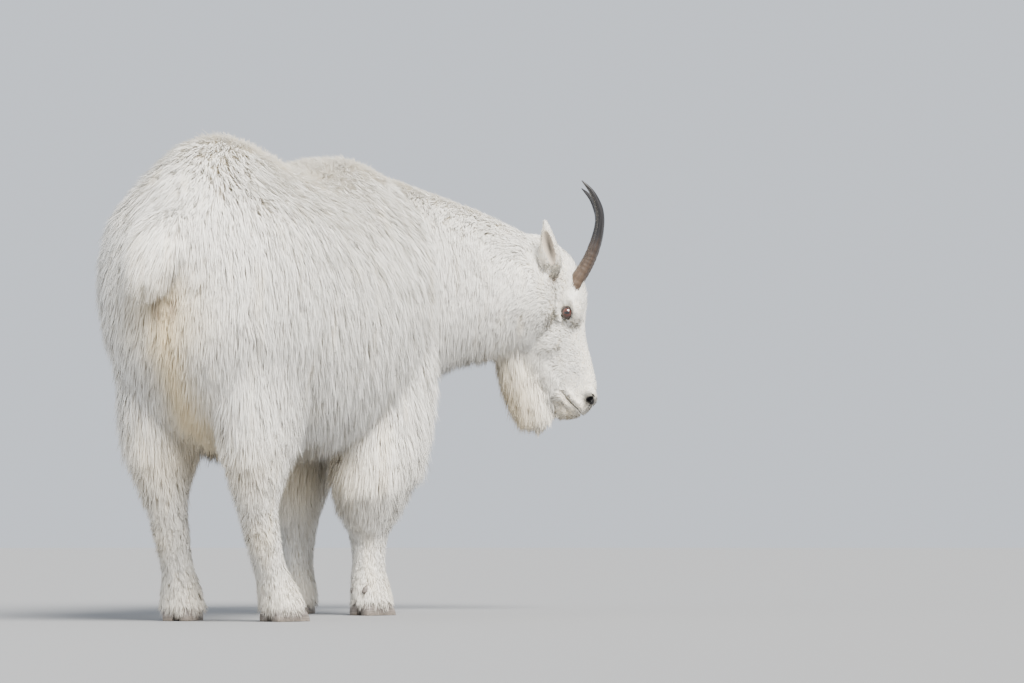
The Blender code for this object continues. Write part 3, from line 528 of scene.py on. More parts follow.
def finish_piece(obj, material, slot, stands_for=()):
    """Gives the piece its material, moves it to the frame and lets it ride on the goat's body; the slot is
    not used.
    """
    obj.data.transform(Matrix.Translation(-MIDDLE_OF_BOX))
    obj.data.materials.clear()
    obj.data.materials.append(material)
    obj.data.shade_smooth()
    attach(obj, "root")
    if stands_for:
        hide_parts(*stands_for)


def finish_on_head(obj, name, *rest):
    """Names a piece made in the head's frame, puts it in place and finishes it."""
    obj.data.transform(head_place())
    obj.name = name
    finish_piece(obj, *rest)


def head_place():
    """The matrix from the head's frame to its place."""
    turn = Matrix.Rotation(-HEAD_TURN, 4, "Z")
    pitch = Matrix.Rotation(HEAD_PITCH, 4, "X")
    roll = Matrix.Rotation(HEAD_ROLL, 4, "Y")
    return Matrix.Translation(HEAD_AT) @ turn @ pitch @ roll


def leg_of(name):
    """The side of a foot and the rings of its leg."""
    return 1 if name.endswith("left") else -1, HIND_LEG if name.startswith("hind") else FORE_LEG


def foot_share(height):
    """How much of a foot's stance is reached at this height."""
    return min(1.0, max(0.0, 1 - height / STANCE_FROM_HEIGHT)) ** 2


def foot_place(name):
    """The matrix from a foot's frame, on the floor with its toes to -Y, to its place."""
    side, rings = leg_of(name)
    across, along, turn = FEET[name]
    x, y = rings[-1][1:3]
    place = Matrix.Translation((side * (x + across), y + along, 0))
    return place @ Matrix.Rotation(math.radians(side * turn), 4, "Z")


def mirrored(point, side):
    """A point given as across, forward and up, in the head's frame."""
    return Vector((side * point[0], -point[1], point[2]))


def smooth_step(low, high, value):
    share = np.clip((value - low) / (high - low), 0, 1)
    return share * share * (3 - 2 * share)


def oval(bm, centre, side, up, half_wide, above, below, sides=24):
    """A ring of edges round centre, reaching above and below it along up."""
    centre = Vector(centre)
    middle = centre + up * (above - below) / 2
    axes = Matrix((side * half_wide, up * (above + below) / 2, side.cross(up))).transposed()
    place = Matrix.Translation(middle) @ axes.to_4x4()
    verts = bmesh.ops.create_circle(bm, segments=sides, radius=1.0, matrix=place)["verts"]
    return list({edge for vert in verts for edge in vert.link_edges})


def bridge(bm, loops, closed=False):
    """A tube through loops of edges, capped unless it closes on itself."""
    for one, other in zip(loops, loops[1:] + (loops[:1] if closed else [])):
        bmesh.ops.bridge_loops(bm, edges=one + other)
    if not closed:
        for end in (loops[0], loops[-1]):
            bmesh.ops.contextual_create(bm, geom=end)


def tube(bm, points, radii, sides, facing=Z):
    """A closed tube through points with an oval section; radii are half width and half thickness."""
    loops = []
    for i, (point, (wide, thick)) in enumerate(zip(points, radii)):
        along = (points[min(i + 1, len(points) - 1)] - points[max(i - 1, 0)]).normalized()
        side = along.cross(facing).normalized()
        up = side.cross(along)
        loops.append(oval(bm, point, side, up, wide, thick, thick, sides))
    bridge(bm, loops)


def ball(bm, centre, radii, turn=None, fine=12):
    place = Matrix.Translation(centre) @ (turn or Matrix()) @ Matrix.Diagonal((*radii, 1))
    bmesh.ops.create_uvsphere(bm, u_segments=2 * fine, v_segments=fine, radius=1.0, matrix=place)


def curve_through(rows, count):
    """Rows of numbers at even shares of a smooth line through the given rows."""
    rows = np.array(rows, float)
    padded = np.vstack([2 * rows[0] - rows[1], rows, 2 * rows[-1] - rows[-2]])
    at = np.linspace(0, len(rows) - 1, count)
    first = np.minimum(at.astype(int), len(rows) - 2)
    t = (at - first)[:, None]
    a, b, c, d = (padded[first + k] for k in range(4))
    return 0.5 * (2 * b + (c - a) * t + (2 * a - 5 * b + 4 * c - d) * t**2 + (3 * b - a - 3 * c + d) * t**3)


def rounded(obj, levels=2):
    round_off = obj.modifiers.new("round", "SUBSURF")
    round_off.levels = round_off.render_levels = levels
    return settle(obj)


def one_skin(obj, voxel, passes):
    """One smoothed skin round the object's overlapping shapes."""
    remesh = obj.modifiers.new("skin", "REMESH")
    remesh.mode = "VOXEL"
    remesh.voxel_size = voxel
    smooth = obj.modifiers.new("smooth", "SMOOTH")
    smooth.factor = 0.5
    smooth.iterations = passes
    return settle(obj)


def combine(obj, other, operation):
    boolean = obj.modifiers.new("combine", "BOOLEAN")
    boolean.operation = operation
    boolean.object = other
    boolean.solver = "MANIFOLD"
    settle(obj)
    bpy.data.objects.remove(other)
    return obj


def leg_depth(height):
    """How deep the coat is on a leg at this height."""
    share = float(smooth_step(SHANK_TOP, PANTS_FROM, height))
    return SHANK_DEPTH + (LEG_DEPTH - SHANK_DEPTH) * share


def level_loops(bm, rows, side_depth, top_depth, bottom_depth):
    """Rings across the line of the trunk or head, inside its outline by the given depths."""
    loops = []
    for along, top, widest, bottom, half_wide in rows:
        above = top - widest - top_depth
        below = widest - bottom - bottom_depth
        loops.append(oval(bm, (0, along, widest), X, Z, half_wide - side_depth, above, below))
    return loops


def body_skin():
    """The skin of trunk, neck, legs and tail, inside the coat; the back narrows to a ridge."""
    bm = bmesh.new()
    bridge(bm, level_loops(bm, TRUNK, TRUNK_DEPTH, BACK_DEPTH, TRUNK_DEPTH))
    centres = [Vector(ring[0]) for ring in NECK]
    loops = []
    for i, (centre, *reaches) in enumerate(NECK):
        along = centres[min(i + 1, len(NECK) - 1)] - centres[max(i - 1, 0)]
        along.z = 0
        side = along.normalized().cross(Z)
        loops.append(oval(bm, centre, side, Z, *(reach - NECK_DEPTH for reach in reaches)))
    bridge(bm, loops)
    for name, (across, shift, _) in FEET.items():
        side, rings = leg_of(name)
        loops = []
        for height, x, y, *reaches in rings:
            share = foot_share(height)
            depth = leg_depth(height)
            centre = (side * (x + across * share), y + shift * share, height)
            loops.append(oval(bm, centre, X, Y, *(reach - depth for reach in reaches)))
        bridge(bm, loops)
    loops = []
    for centre, *reaches in TAIL:
        loops.append(oval(bm, centre, X, Y, *(reach * share for reach, share in zip(reaches, TAIL_SKIN))))
    bridge(bm, loops)
    body = one_skin(rounded(object_from(bm, "body")), BODY_VOXEL, 8)
    places = coords(body.data).astype(float)
    _, y, z = places.T
    narrow = (BACK_NARROWS + RUMP_NARROWS * smooth_step(0.0, 0.22, y)) * smooth_step(-0.42, -0.25, y)
    places[:, 0] *= 1 - narrow * smooth_step(*RIDGE_HEIGHTS, z)
    body.data.vertices.foreach_set("co", places.astype(np.float32).ravel())
    return body


def head_skin():
    """The skin of the head and its ears in the head's frame, with room for the eyes."""
    bm = bmesh.new()
    rows = [(-along, *rest) for along, *rest in HEAD]
    bridge(bm, level_loops(bm, rows, FACE_DEPTH, FACE_DEPTH, FACE_DEPTH))
    obj = rounded(object_from(bm, "head"))
    bm = bmesh.new()
    bm.from_mesh(obj.data)
    bpy.data.objects.remove(obj)
    for side, _ in SIDES:
        for centre, radii in SWELLS:
            ball(bm, mirrored(centre, side), radii)
        for line, thick in FOLDS:
            points = [mirrored(row, side) for row in curve_through(line, FOLD_STEPS)]
            turns = [math.pi * (0.08 + 0.84 * i / (FOLD_STEPS - 1)) for i in range(FOLD_STEPS)]
            tube(bm, points, [(thick * math.sin(turn) ** 0.5,) * 2 for turn in turns], 10)
        outward = Vector((side * 0.9, -0.2, 0.35)).normalized()
        rows = curve_through(EAR, 16)
        tube(bm, [mirrored(row[:3], side) for row in rows], [tuple(row[3:5]) for row in rows], 20, outward)
    rows = curve_through([(*ring[0], *ring[1:]) for ring in BEARD_CORE], 8)
    tube(bm, [mirrored(row[:3], 1) for row in rows], [tuple(row[3:5]) for row in rows], 16)
    skin = one_skin(object_from(bm, "head"), HEAD_VOXEL, 3)
    for side, _ in SIDES:
        for cut in (eye_room(side), nostril_cut(side), ear_cup_cut(side)):
            combine(skin, cut, "DIFFERENCE")
    return combine(skin, mouth_cut(), "DIFFERENCE")


def ball_object(name, *values):
    bm = bmesh.new()
    ball(bm, *values)
    return object_from(bm, name)


def eye_room(side):
    return ball_object("eye room", mirrored(EYE_AT, side), (EYE_RADIUS + EYE_GAP,) * 3, None, 20)


def nostril_cut(side):
    turn = Matrix.Rotation(side * math.radians(-32), 4, "Z") @ Matrix.Rotation(math.radians(38), 4, "X")
    return ball_object("nostril", mirrored(NOSTRIL_AT, side), NOSTRIL_SIZE, turn)


def ear_cup_cut(side):
    tilt = Matrix.Rotation(-side * EAR_CUP_TILT, 4, "Z")
    return ball_object("ear cup", mirrored(EAR_CUP[0], side), EAR_CUP[1], tilt, 20)


def mouth_cut():
    """The cutter for the line of the mouth."""
    bm = bmesh.new()
    line = curve_through(MOUTH, 14)
    low = [bm.verts.new((-0.08, -along, height - MOUTH_HEIGHT / 2)) for along, height in line]
    high = [bm.verts.new((-0.08, -along, height + MOUTH_HEIGHT / 2)) for along, height in line]
    face = bm.faces.new(low + high[::-1])
    made = bmesh.ops.extrude_face_region(bm, geom=[face])["geom"]
    verts = [item for item in made if isinstance(item, bmesh.types.BMVert)]
    bmesh.ops.translate(bm, vec=(0.16, 0, 0), verts=verts)
    return object_from(bm, "mouth")


def unwrap(obj):
    """Lays the skin out flat, with the charts following its own shape."""
    bpy.context.view_layer.objects.active = obj
    obj.select_set(True)
    bpy.ops.object.mode_set(mode="EDIT")
    bpy.ops.mesh.select_all(action="SELECT")
    bpy.ops.uv.smart_project(angle_limit=math.radians(66), island_margin=0.001)
    bpy.ops.object.mode_set(mode="OBJECT")
    obj.select_set(False)
    obj.data.uv_layers[0].name = "OFBake"


def coords(mesh, attribute="vertices", key="co", width=3, kind=np.float32):
    """A mesh's values as an array of rows."""
    items = getattr(mesh, attribute)
    flat = np.empty(len(items) * width, kind)
    items.foreach_get(key, flat)
    return flat.reshape(-1, width)


def in_order(obj):
    """Sorts the points and faces of a mesh, which a boolean lists in another order in each run."""
    old = obj.data
    places = coords(old)
    order = np.lexsort(places.T)
    rank = np.empty(len(order), int)
    rank[order] = np.arange(len(order))
    faces = sorted(tuple(rank[list(face.vertices)].tolist()) for face in old.polygons)
    obj.data = bpy.data.meshes.new(obj.name)
    obj.data.from_pydata(places[order].tolist(), [], faces)
    bpy.data.meshes.remove(old)


def matrix_rows(matrix):
    return np.array(matrix, float)


def in_head(points):
    """Rows of places as across, forward and up, in the head's frame."""
    inverse = matrix_rows(head_place().inverted())
    return (points @ inverse[:3, :3].T + inverse[:3, 3]) * (1, -1, 1)


def markings_at(points):
    """The strength of each marking and of the painted shade on the muzzle, in the order of CHANNELS, at rows
    of places.
    """
    head = in_head(points)
    strengths = np.zeros((len(points), len(CHANNELS)), np.float32)
    for where, place, reach, kind, amount in MARKINGS:
        spots = points if where == "body" else head
        for side in (1, -1) if place[0] else (1,):
            away = (spots - np.array(place) * (side, 1, 1)) / reach
            strengths[:, CHANNELS.index(kind)] += amount * np.exp(-(away**2).sum(1))
    strengths[:, 1] += 0.6 * smooth_step(GROUND_SOIL, 0.008, points[:, 2])
    return np.clip(strengths, 0, 1)


def coat_rows():
    """Every place of the coat's tables, on both sides, as arrays."""
    turn = matrix_rows(head_place())
    names, places, lies, values = [], [], [], []
    for table, on_head in ((COAT, False), (HEAD_COAT, True)):
        for name, rows in table.items():
            for place, lie, *rest in rows:
                for side in (1, -1) if place[0] and name not in UNMIRRORED else (1,):
                    flip = np.array((side, -1 if on_head else 1, 1))
                    place_here = np.array(place) * flip
                    lie_here = np.array(lie) * flip
                    if on_head:
                        place_here = turn[:3, :3] @ place_here + turn[:3, 3]
                        lie_here = turn[:3, :3] @ lie_here
                    names.append(name)
                    places.append(place_here)
                    lies.append(lie_here / np.linalg.norm(lie_here))
                    values.append(rest)
    return names, np.array(places), np.array(lies), np.array(values)


class Skin:
    """The goat's skin as arrays, for laying the coat on."""

    def __init__(self, mesh):
        mesh.calc_loop_triangles()
        self.places = coords(mesh).astype(float)
        self.normals = coords(mesh, "vertex_normals", "vector").astype(float)
        self.corners = coords(mesh, "loop_triangles", "vertices", 3, np.int32)
        loops = coords(mesh, "loop_triangles", "loops", 3, np.int32)
        self.flat = coords(mesh.uv_layers["OFBake"], "data", "uv", 2)[loops]
        a, b, c = (self.places[self.corners[:, k]] for k in range(3))
        self.areas = np.linalg.norm(np.cross(b - a, c - a), axis=1) / 2
        self.middles = (a + b + c) / 3
        self.tree = BVHTree.FromPolygons(self.places.tolist(), self.corners.tolist())

    def scatter(self, triangles, rng):
        """A random place, normal and place on the unwrap in each of the listed triangles."""
        u = np.sqrt(rng.random(len(triangles)))
        v = rng.random(len(triangles))
        shares = np.stack([1 - u, u * (1 - v), u * v], 1)[:, :, None]
        corners = self.corners[triangles]
        places = (self.places[corners] * shares).sum(1)
        normals = (self.normals[corners] * shares).sum(1)
        flat = (self.flat[triangles] * shares).sum(1)
        return places, unit(normals), flat


def unit(rows):
    return rows / np.maximum(np.linalg.norm(rows, axis=-1, keepdims=True), 1e-9)


def blended(points, places, values):
    """Values blended from the nearest places of a table."""
    out = np.empty((len(points), values.shape[1]))
    for start in range(0, len(points), ROWS_AT_ONCE):
        part = points[start : start + ROWS_AT_ONCE]
        away = ((part[:, None] - places[None]) ** 2).sum(2)
        weights = (away + 0.0002) ** -2.5
        out[start : start + ROWS_AT_ONCE] = weights @ values / weights.sum(1, keepdims=True)
    return out


def near_side(points):
    """Rows of places in the head's frame, with those of its right side mirrored to the left."""
    head = in_head(points)
    head[:, 0] = np.abs(head[:, 0])
    return head


def in_ear_cup(head):
    """Which of the places, in the head's frame and on its near side, are in the hollow of the ear."""
    across, along, up = (head - np.array(EAR_CUP[0])).T
    outward = across * math.cos(EAR_CUP_TILT) + along * math.sin(EAR_CUP_TILT)
    lengthways = across * math.sin(EAR_CUP_TILT) - along * math.cos(EAR_CUP_TILT)
    return np.linalg.norm(np.stack([outward, lengthways, up], 1) / EAR_CUP[1], axis=1) < EAR_CUP_EDGE


def near_mouth(head, near, width):
    """Which of the places in the head's frame lie within a width of the line of the mouth."""
    line = curve_through(MOUTH, 40)
    inside = np.full(len(head), False)
    inside[near] = np.abs(head[near, None, 1:] - line[None]).sum(2).min(1) < width
    return inside


def bare(points):
    """Where no hair grows: on the eyes, in the nostrils, mouth and ears, and under the horns."""
    head = near_side(points)
    eye = np.linalg.norm((head - np.array(EYE_AT)) / EYE_BARE, axis=1) < 1
    nostril = np.linalg.norm((head - np.array(NOSTRIL_AT)) / (1.0, 1.3, 1.0), axis=1) < NOSTRIL_BARE
    lip = near_mouth(head, head[:, 1] > 0.295, LIP_BARE)
    horn = np.full(len(points), False)
    for row in curve_through(HORN, 30)[:10]:
        horn |= np.linalg.norm(head - row[:3], axis=1) < row[3] - 0.001
    return eye | nostril | lip | in_ear_cup(head) | horn


def drape(tree, root, normal, lie, length, height, stiff, steep):
    """A line of hair from its root: it lies along the skin, is held off it and sags under its weight."""
    step = length / (PATH_POINTS - 1)
    along = lie - normal * lie.dot(normal)
    along = along.normalized() if along.length > 0.05 else lie.normalized()
    rise = min(1.2, height / length * steep)
    heading = (along + normal * rise).normalized()
    point = root - normal * ROOT_DEPTH
    line = [point]
    normals = [normal]
    for i in range(1, PATH_POINTS):
        share = i / (PATH_POINTS - 1)
        wanted = height * (1 - (1 - share) ** 2)
        target = point + heading * step
        near, normal_here, _, distance = tree.find_nearest(target)
        above = (target - near).dot(normal_here)
        if distance < 0.08:
            if above < wanted:
                target += normal_here * (wanted - above)
            elif above > wanted and normal_here.z > -0.25 and distance < height * 2.5:
                target -= normal_here * (above - wanted) * 0.6
            normal = normal.lerp(normal_here, 0.5).normalized()
        heading_now = (target - point).normalized()
        point = point + heading_now * step
        heading = (heading_now * stiff + (lie - Z) * (1 - stiff) * 0.5).normalized()
        line.append(point)
        normals.append(normal)
    return line, normals


def tree_of(spots):
    tree = KDTree(len(spots))
    for i, spot in enumerate(spots):
        tree.insert(spot, i)
    tree.balance()
    return tree


def leading_lines(skin, roots, rng, values, lies, short):
    """Draped lines of the tufts that lead the others, a tree of their roots, and how they stand."""
    places, normals, _ = roots
    count = len(places)
    raised = places + normals * LEADER_RISE
    leaders = rng.choice(count, max(1, count // (9 if short else 14)), replace=False)
    big = rng.choice(leaders, max(1, len(leaders) // 9), replace=False)
    big_tree = tree_of(raised[big])
    big_turn = rng.normal(0, 0.12, len(big))
    big_long = rng.uniform(0.90, 1.08, len(big))
    big_high = rng.uniform(0.90, 1.06, len(big))
    turns = rng.normal(0, 0.08, len(leaders))
    longs = rng.uniform(0.92, 1.08, len(leaders))
    highs = rng.uniform(0.90, 1.08, len(leaders))
    lines = np.empty((len(leaders), PATH_POINTS, 3))
    outs = np.empty((len(leaders), PATH_POINTS, 3))
    for i, index in enumerate(leaders):
        length, height = values[index, :2]
        root = Vector(places[index])
        normal = Vector(normals[index])
        _, clump, _ = big_tree.find(root + normal * LEADER_RISE)
        lie = Matrix.Rotation(big_turn[clump] + turns[i], 3, normal) @ Vector(lies[index])
        gather = Vector(places[big[clump]]) - root
        reach = length * longs[i] * big_long[clump]
        if gather.length < 0.05:
            lie = (lie + gather * (CLUMPING / max(reach, 0.004))).normalized()
        high = height * highs[i] * big_high[clump]
        stiff = 1.0 - 0.45 * float(smooth_step(0.012, 0.060, reach))
        lines[i], outs[i] = drape(skin.tree, root, normal, lie, reach, high, stiff, 0.8 if short else 1.8)
    return tree_of(raised[leaders]), lines, outs


def coat_of(skin, name, roots, rng, values, lies):
    """Tufts of one kind of coat: their corners, the shares of a tuft at its rings, and the way each faces."""
    places, normals, _ = roots
    length, height, half_wide, _ = values.T
    count = len(places)
    tree, lines, outs = leading_lines(skin, roots, rng, values, lies, name in SHORT_COATS)
    near = [tree.find_n(Vector(spot), 3) for spot in places + normals * LEADER_RISE]
    owners = np.array([[hit[1] for hit in hits] for hits in near])
    weights = 1 / (np.array([[hit[2] for hit in hits] for hits in near]) + 0.001)
    weights = (weights / weights.sum(1, keepdims=True))[:, :, None, None]
    shares, widths = (np.array(row) for row in (LONG_TUFT if name == "beard" else TUFT))
    under = rng.random(count) < UNDERCOAT
    own_long = np.where(under, rng.uniform(0.35, 0.75, count), rng.uniform(0.80, 1.0, count))
    stray = rng.random(count) < STRAYS
    own_long = np.where(stray, rng.uniform(0.9, 1.12, count), own_long)
    gathering = np.where(stray, 0.0, rng.uniform(0.10, 0.40, count))
    fray = unit(rng.normal(0, 1, (count, 3))) * (length * np.where(stray, 0.17, 0.075))[:, None]
    lift = rng.random(count) ** 2 * height * 0.30
    lead = ((lines - lines[:, :1])[owners] * weights).sum(1)
    out = unit((outs[owners] * weights).sum(1))
    root = places - normals * ROOT_DEPTH
    to_leader = lines[owners[:, 0], 0] - root
    path = np.empty((count, len(shares), 3))
    normal_at = np.empty((count, len(shares), 3))
    picked = np.arange(count)
    for k, share in enumerate(shares):
        at = np.clip(share * own_long, 0, 1) * (PATH_POINTS - 1)
        low = np.minimum(at.astype(int), PATH_POINTS - 2)
        part = (at - low)[:, None]
        middle = lead[picked, low] * (1 - part) + lead[picked, low + 1] * part
        facing = out[picked, low] * (1 - part) + out[picked, low + 1] * part
        gathered = root + to_leader * (gathering * share)[:, None]
        path[:, k] = gathered + middle + fray * share**1.5 + facing * (lift * share**1.5)[:, None]
        normal_at[:, k] = facing
    ahead = np.empty_like(path)
    ahead[:, :-1] = path[:, 1:] - path[:, :-1]
    ahead[:, -1] = ahead[:, -2]
    ahead = unit(ahead)
    side = unit(np.cross(ahead, normal_at))
    up = np.cross(side, ahead)
    roll = rng.normal(0, TUFT_ROLL, count)[:, None, None]
    side = side * np.cos(roll) + up * np.sin(roll)
    half = (half_wide * rng.uniform(0.7, 1.25, count))[:, None, None] * widths[None, :, None]
    edge = (side * half)[:, :-1]
    pairs = np.stack([path[:, :-1] + edge, path[:, :-1] - edge], 2).reshape(count, -1, 3)
    corners = np.concatenate([pairs, path[:, -1:]], 1)
    corners[:, :, 2] = np.maximum(corners[:, :, 2], FLOOR_GAP)
    own_facing = unit(np.cross(side[:, 0], ahead[:, 0]))
    return corners, shares, unit(out[:, 0] * SOFT_SHADING + own_facing * (1 - SOFT_SHADING))


def tuft_mesh(name, shares, corners, flat, roots, facing, rng):
    """One joined mesh of tufts, each a tapered strip, with its markings and painted shade, and a patch on the
    skin's unwrap.
    """
    count, points, _ = corners.shape
    strips = len(shares) - 1
    quads = np.array([(2 * k, 2 * k + 2, 2 * k + 3, 2 * k + 1) for k in range(strips - 1)])
    tip = np.array((2 * strips - 2, 2 * strips, 2 * strips - 1))
    pattern = np.concatenate([quads.ravel(), tip])
    sizes = np.tile([4] * (strips - 1) + [3], count)
    loops = (np.arange(count)[:, None] * points + pattern[None]).ravel()
    mesh = bpy.data.meshes.new(name)
    mesh.vertices.add(count * points)
    mesh.vertices.foreach_set("co", corners.astype(np.float32).ravel())
    mesh.loops.add(len(loops))
    mesh.loops.foreach_set("vertex_index", loops.astype(np.int32))
    mesh.polygons.add(count * strips)
    mesh.polygons.foreach_set("loop_start", (np.cumsum(sizes) - sizes).astype(np.int32))
    reach = np.append(np.repeat(shares[:-1], 2), 1.0)
    across = np.append(np.tile((0.0, 1.0), strips), 0.5)
    patch = np.stack([across, reach], 1) * BAKE_PATCH
    spots = np.clip(flat[:, None] + patch[None] - BAKE_PATCH / 2, 0, 1).reshape(-1, 2)
    layer = mesh.uv_layers.new(name="OFBake")
    layer.data.foreach_set("uv", spots[loops].astype(np.float32).ravel())
    add_marks(mesh, np.repeat(markings_at(roots), points, axis=0))
    own = np.zeros((count, points, 3), np.float32)
    own[:, :, 0] = rng.random(count)[:, None]
    own[:, :, 1] = reach
    strand = mesh.attributes.new("strand", "FLOAT_VECTOR", "POINT")
    strand.data.foreach_set("vector", own.ravel())
    mesh.update(calc_edges=True)
    mesh.validate()
    mesh.normals_split_custom_set_from_vertices(np.repeat(facing, points, axis=0))
    return link(name, mesh)


def add_marks(mesh, marks):
    layer = mesh.attributes.new("marks", "FLOAT_COLOR", "POINT")
    layer.data.foreach_set("color", marks.astype(np.float32).ravel())


def scaled(colour, factor):
    return tuple(min(1.0, factor * part) for part in colour)


class Paint:
    """A material in the making, with its shader and short ways to its nodes."""

    def __init__(self, name):
        self.material = bpy.data.materials.new(name)
        self.material.use_nodes = True
        self.tree = self.material.node_tree
        self.shader = self.tree.nodes["Principled BSDF"]

    def feed(self, socket, value):
        """Links a socket to an input or sets the input to a number or a plain colour."""
        if isinstance(value, bpy.types.NodeSocket):
            self.tree.links.new(value, socket)
        elif socket.type == "RGBA":
            socket.default_value = (*value, 1)
        else:
            socket.default_value = value

    def node(self, kind, inputs=None, **fields):
        node = self.tree.nodes.new(kind)
        for key, value in fields.items():
            setattr(node, key, value)
        for key, value in (inputs or {}).items():
            self.feed(node.inputs[key], value)
        return node

    def mix(self, first, second, share):
        return self.node("ShaderNodeMix", {6: first, 7: second, 0: share}, data_type="RGBA").outputs[2]

    def maths(self, operation, first, second):
        inputs = {0: first, 1: second}
        clamp = operation == "MULTIPLY"
        return self.node("ShaderNodeMath", inputs, operation=operation, use_clamp=clamp).outputs[0]

    def noise(self, scale, detail, rough=0.5, stretch=(1, 1, 1)):
        place = self.node("ShaderNodeTexCoord").outputs["Object"]
        place = self.node("ShaderNodeMapping", {"Vector": place, "Scale": stretch}).outputs["Vector"]
        inputs = {"Vector": place, "Scale": scale, "Detail": detail, "Roughness": rough}
        return self.node("ShaderNodeTexNoise", inputs).outputs["Fac"]

    def flat_noise(self, place, scale, detail):
        inputs = {"Vector": place, "Scale": scale, "Detail": detail}
        return self.node("ShaderNodeTexNoise", inputs, noise_dimensions="2D").outputs["Fac"]

    def ramp(self, value, low, high):
        inputs = {"Value": value, "From Min": low, "From Max": high}
        return self.node("ShaderNodeMapRange", inputs).outputs["Result"]

    def bump(self, height, distance, strength):
        inputs = {"Height": height, "Distance": distance, "Strength": strength}
        self.feed(self.shader.inputs["Normal"], self.node("ShaderNodeBump", inputs).outputs["Normal"])

    def surface(self, colour, rough, **inputs):
        """The finished material; inputs of the shader are named with a line for each space."""
        self.feed(self.shader.inputs["Base Color"], colour)
        self.feed(self.shader.inputs["Roughness"], rough)
        for key, value in inputs.items():
            self.shader.inputs[key.replace("_", " ")].default_value = value
        return self.material


def hair_material(name, settings, on_skin):
    """White hair, stained by its markings, greyed by painted shade on the sides of the muzzle, and creamier
    near the root; the skin below has it too.
    """
    paint = Paint(name)
    marks = paint.node("ShaderNodeAttribute", attribute_name="marks").outputs
    stains = paint.node("ShaderNodeSeparateColor", {0: marks["Color"]}).outputs
    hair = paint.mix(settings.white, scaled(settings.white, 0.93), paint.noise(9.0, 4.0))
    if on_skin:
        hair = paint.mix(hair, settings.cream, 0.32)
    else:
        strand = paint.node("ShaderNodeAttribute", attribute_name="strand").outputs["Vector"]
        parts = paint.node("ShaderNodeSeparateXYZ", {0: strand}).outputs
        near_root = paint.maths("MULTIPLY", paint.ramp(parts["Y"], 0.75, 0.0), 0.30)
        hair = paint.mix(hair, settings.cream, near_root)
        dull = paint.maths("MULTIPLY", paint.ramp(parts["X"], 0.0, 1.0), 0.35)
        hair = paint.mix(hair, scaled(settings.white, 0.86), dull)
    streaks = paint.ramp(paint.noise(30.0, 3.0, stretch=(1, 1, 0.12)), 0.56, 0.72)
    hair = paint.mix(hair, settings.cream, paint.maths("MULTIPLY", streaks, 0.22))
    hair = paint.mix(hair, settings.cream, stains[0])
    # Painted shade: the blue-grey shadow on the sides of the muzzle
    hair = paint.mix(hair, SHADE_GREY, marks["Alpha"])
    hair = paint.mix(hair, settings.soil, stains[1])
    hair = paint.mix(hair, BARE_BLACK, stains[2])
    grain = paint.noise(420.0 if on_skin else 900.0, 2.0, stretch=(1, 1, 0.35))
    paint.bump(grain, 0.0012, 0.6 if on_skin else 0.25)
    return paint.surface(hair, 0.72, Specular_IOR_Level=0.28, Sheen_Weight=0.25, Sheen_Roughness=0.45)


def eye_material(settings):
    """A wet eye on its own flat map: dark round, red-brown iris with spokes and a level bar of a pupil."""
    paint = Paint("eye, wet brown")
    flat = paint.node("ShaderNodeUVMap", uv_map="Eye").outputs["UV"]
    parts = paint.node("ShaderNodeSeparateXYZ", {0: flat}).outputs
    radius = paint.node("ShaderNodeVectorMath", {0: flat}, operation="LENGTH").outputs["Value"]
    turn = paint.maths("MULTIPLY_ADD", paint.maths("ARCTAN2", parts["Y"], parts["X"]), 4.0)
    round_map = paint.node("ShaderNodeCombineXYZ", {"X": turn, "Y": radius}).outputs[0]
    spokes = paint.flat_noise(round_map, 5.0, 4.0)
    eye = paint.mix(settings.iris, scaled(settings.iris, 1.9), paint.ramp(spokes, 0.35, 0.7))
    eye = paint.mix(eye, (0.010, 0.006, 0.005), paint.ramp(radius, 0.80, 0.98))
    eye = paint.mix(eye, (0.055, 0.035, 0.028), paint.ramp(radius, 1.08, 1.3))
    wide = paint.maths("POWER", paint.maths("DIVIDE", parts["X"], 0.52), 4.0)
    tall = paint.maths("POWER", paint.maths("DIVIDE", parts["Y"], 0.24), 4.0)
    pupil = paint.ramp(paint.maths("ADD", wide, tall), 1.3, 0.8)
    eye = paint.mix(eye, (0.004, 0.004, 0.006), pupil)
    paint.bump(spokes, 0.0003, 0.2)
    return paint.surface(eye, 0.12, Coat_Weight=1.0, Coat_Roughness=0.02)


def lid_material():
    paint = Paint("eyelid skin")
    grain = paint.noise(500.0, 4.0)
    paint.bump(grain, 0.0006, 0.5)
    return paint.surface(paint.mix((0.016, 0.011, 0.010), (0.050, 0.034, 0.028), grain), 0.45)


def horn_material(settings):
    """Horn on its own map, round and along: brown and rough at its base, then black and polished."""
    paint = Paint("horn, ringed and polished")
    flat = paint.node("ShaderNodeUVMap", uv_map="Horn").outputs["UV"]
    up = paint.node("ShaderNodeSeparateXYZ", {0: flat}).outputs["Y"]
    lines = paint.node("ShaderNodeMapping", {"Vector": flat, "Scale": (22.0, 4.0, 1.0)}).outputs["Vector"]
    fibre = paint.flat_noise(lines, 1.0, 5.0)
    scuff = paint.noise(160.0, 5.0, 0.65)
    worn = paint.ramp(paint.maths("ADD", up, paint.maths("MULTIPLY", fibre, 0.16)), 0.46, 0.14)
    base = paint.mix(settings.base, scaled(settings.base, 1.9), paint.ramp(scuff, 0.4, 0.75))
    tip = paint.mix(settings.tip, (0.040, 0.037, 0.038), paint.ramp(fibre, 0.45, 0.8))
    rough = paint.node("ShaderNodeMix", {0: worn, 2: 0.32, 3: 0.62}, data_type="FLOAT").outputs[0]
    paint.bump(fibre, 0.0001, 0.4)
    return paint.surface(paint.mix(tip, base, worn), rough)


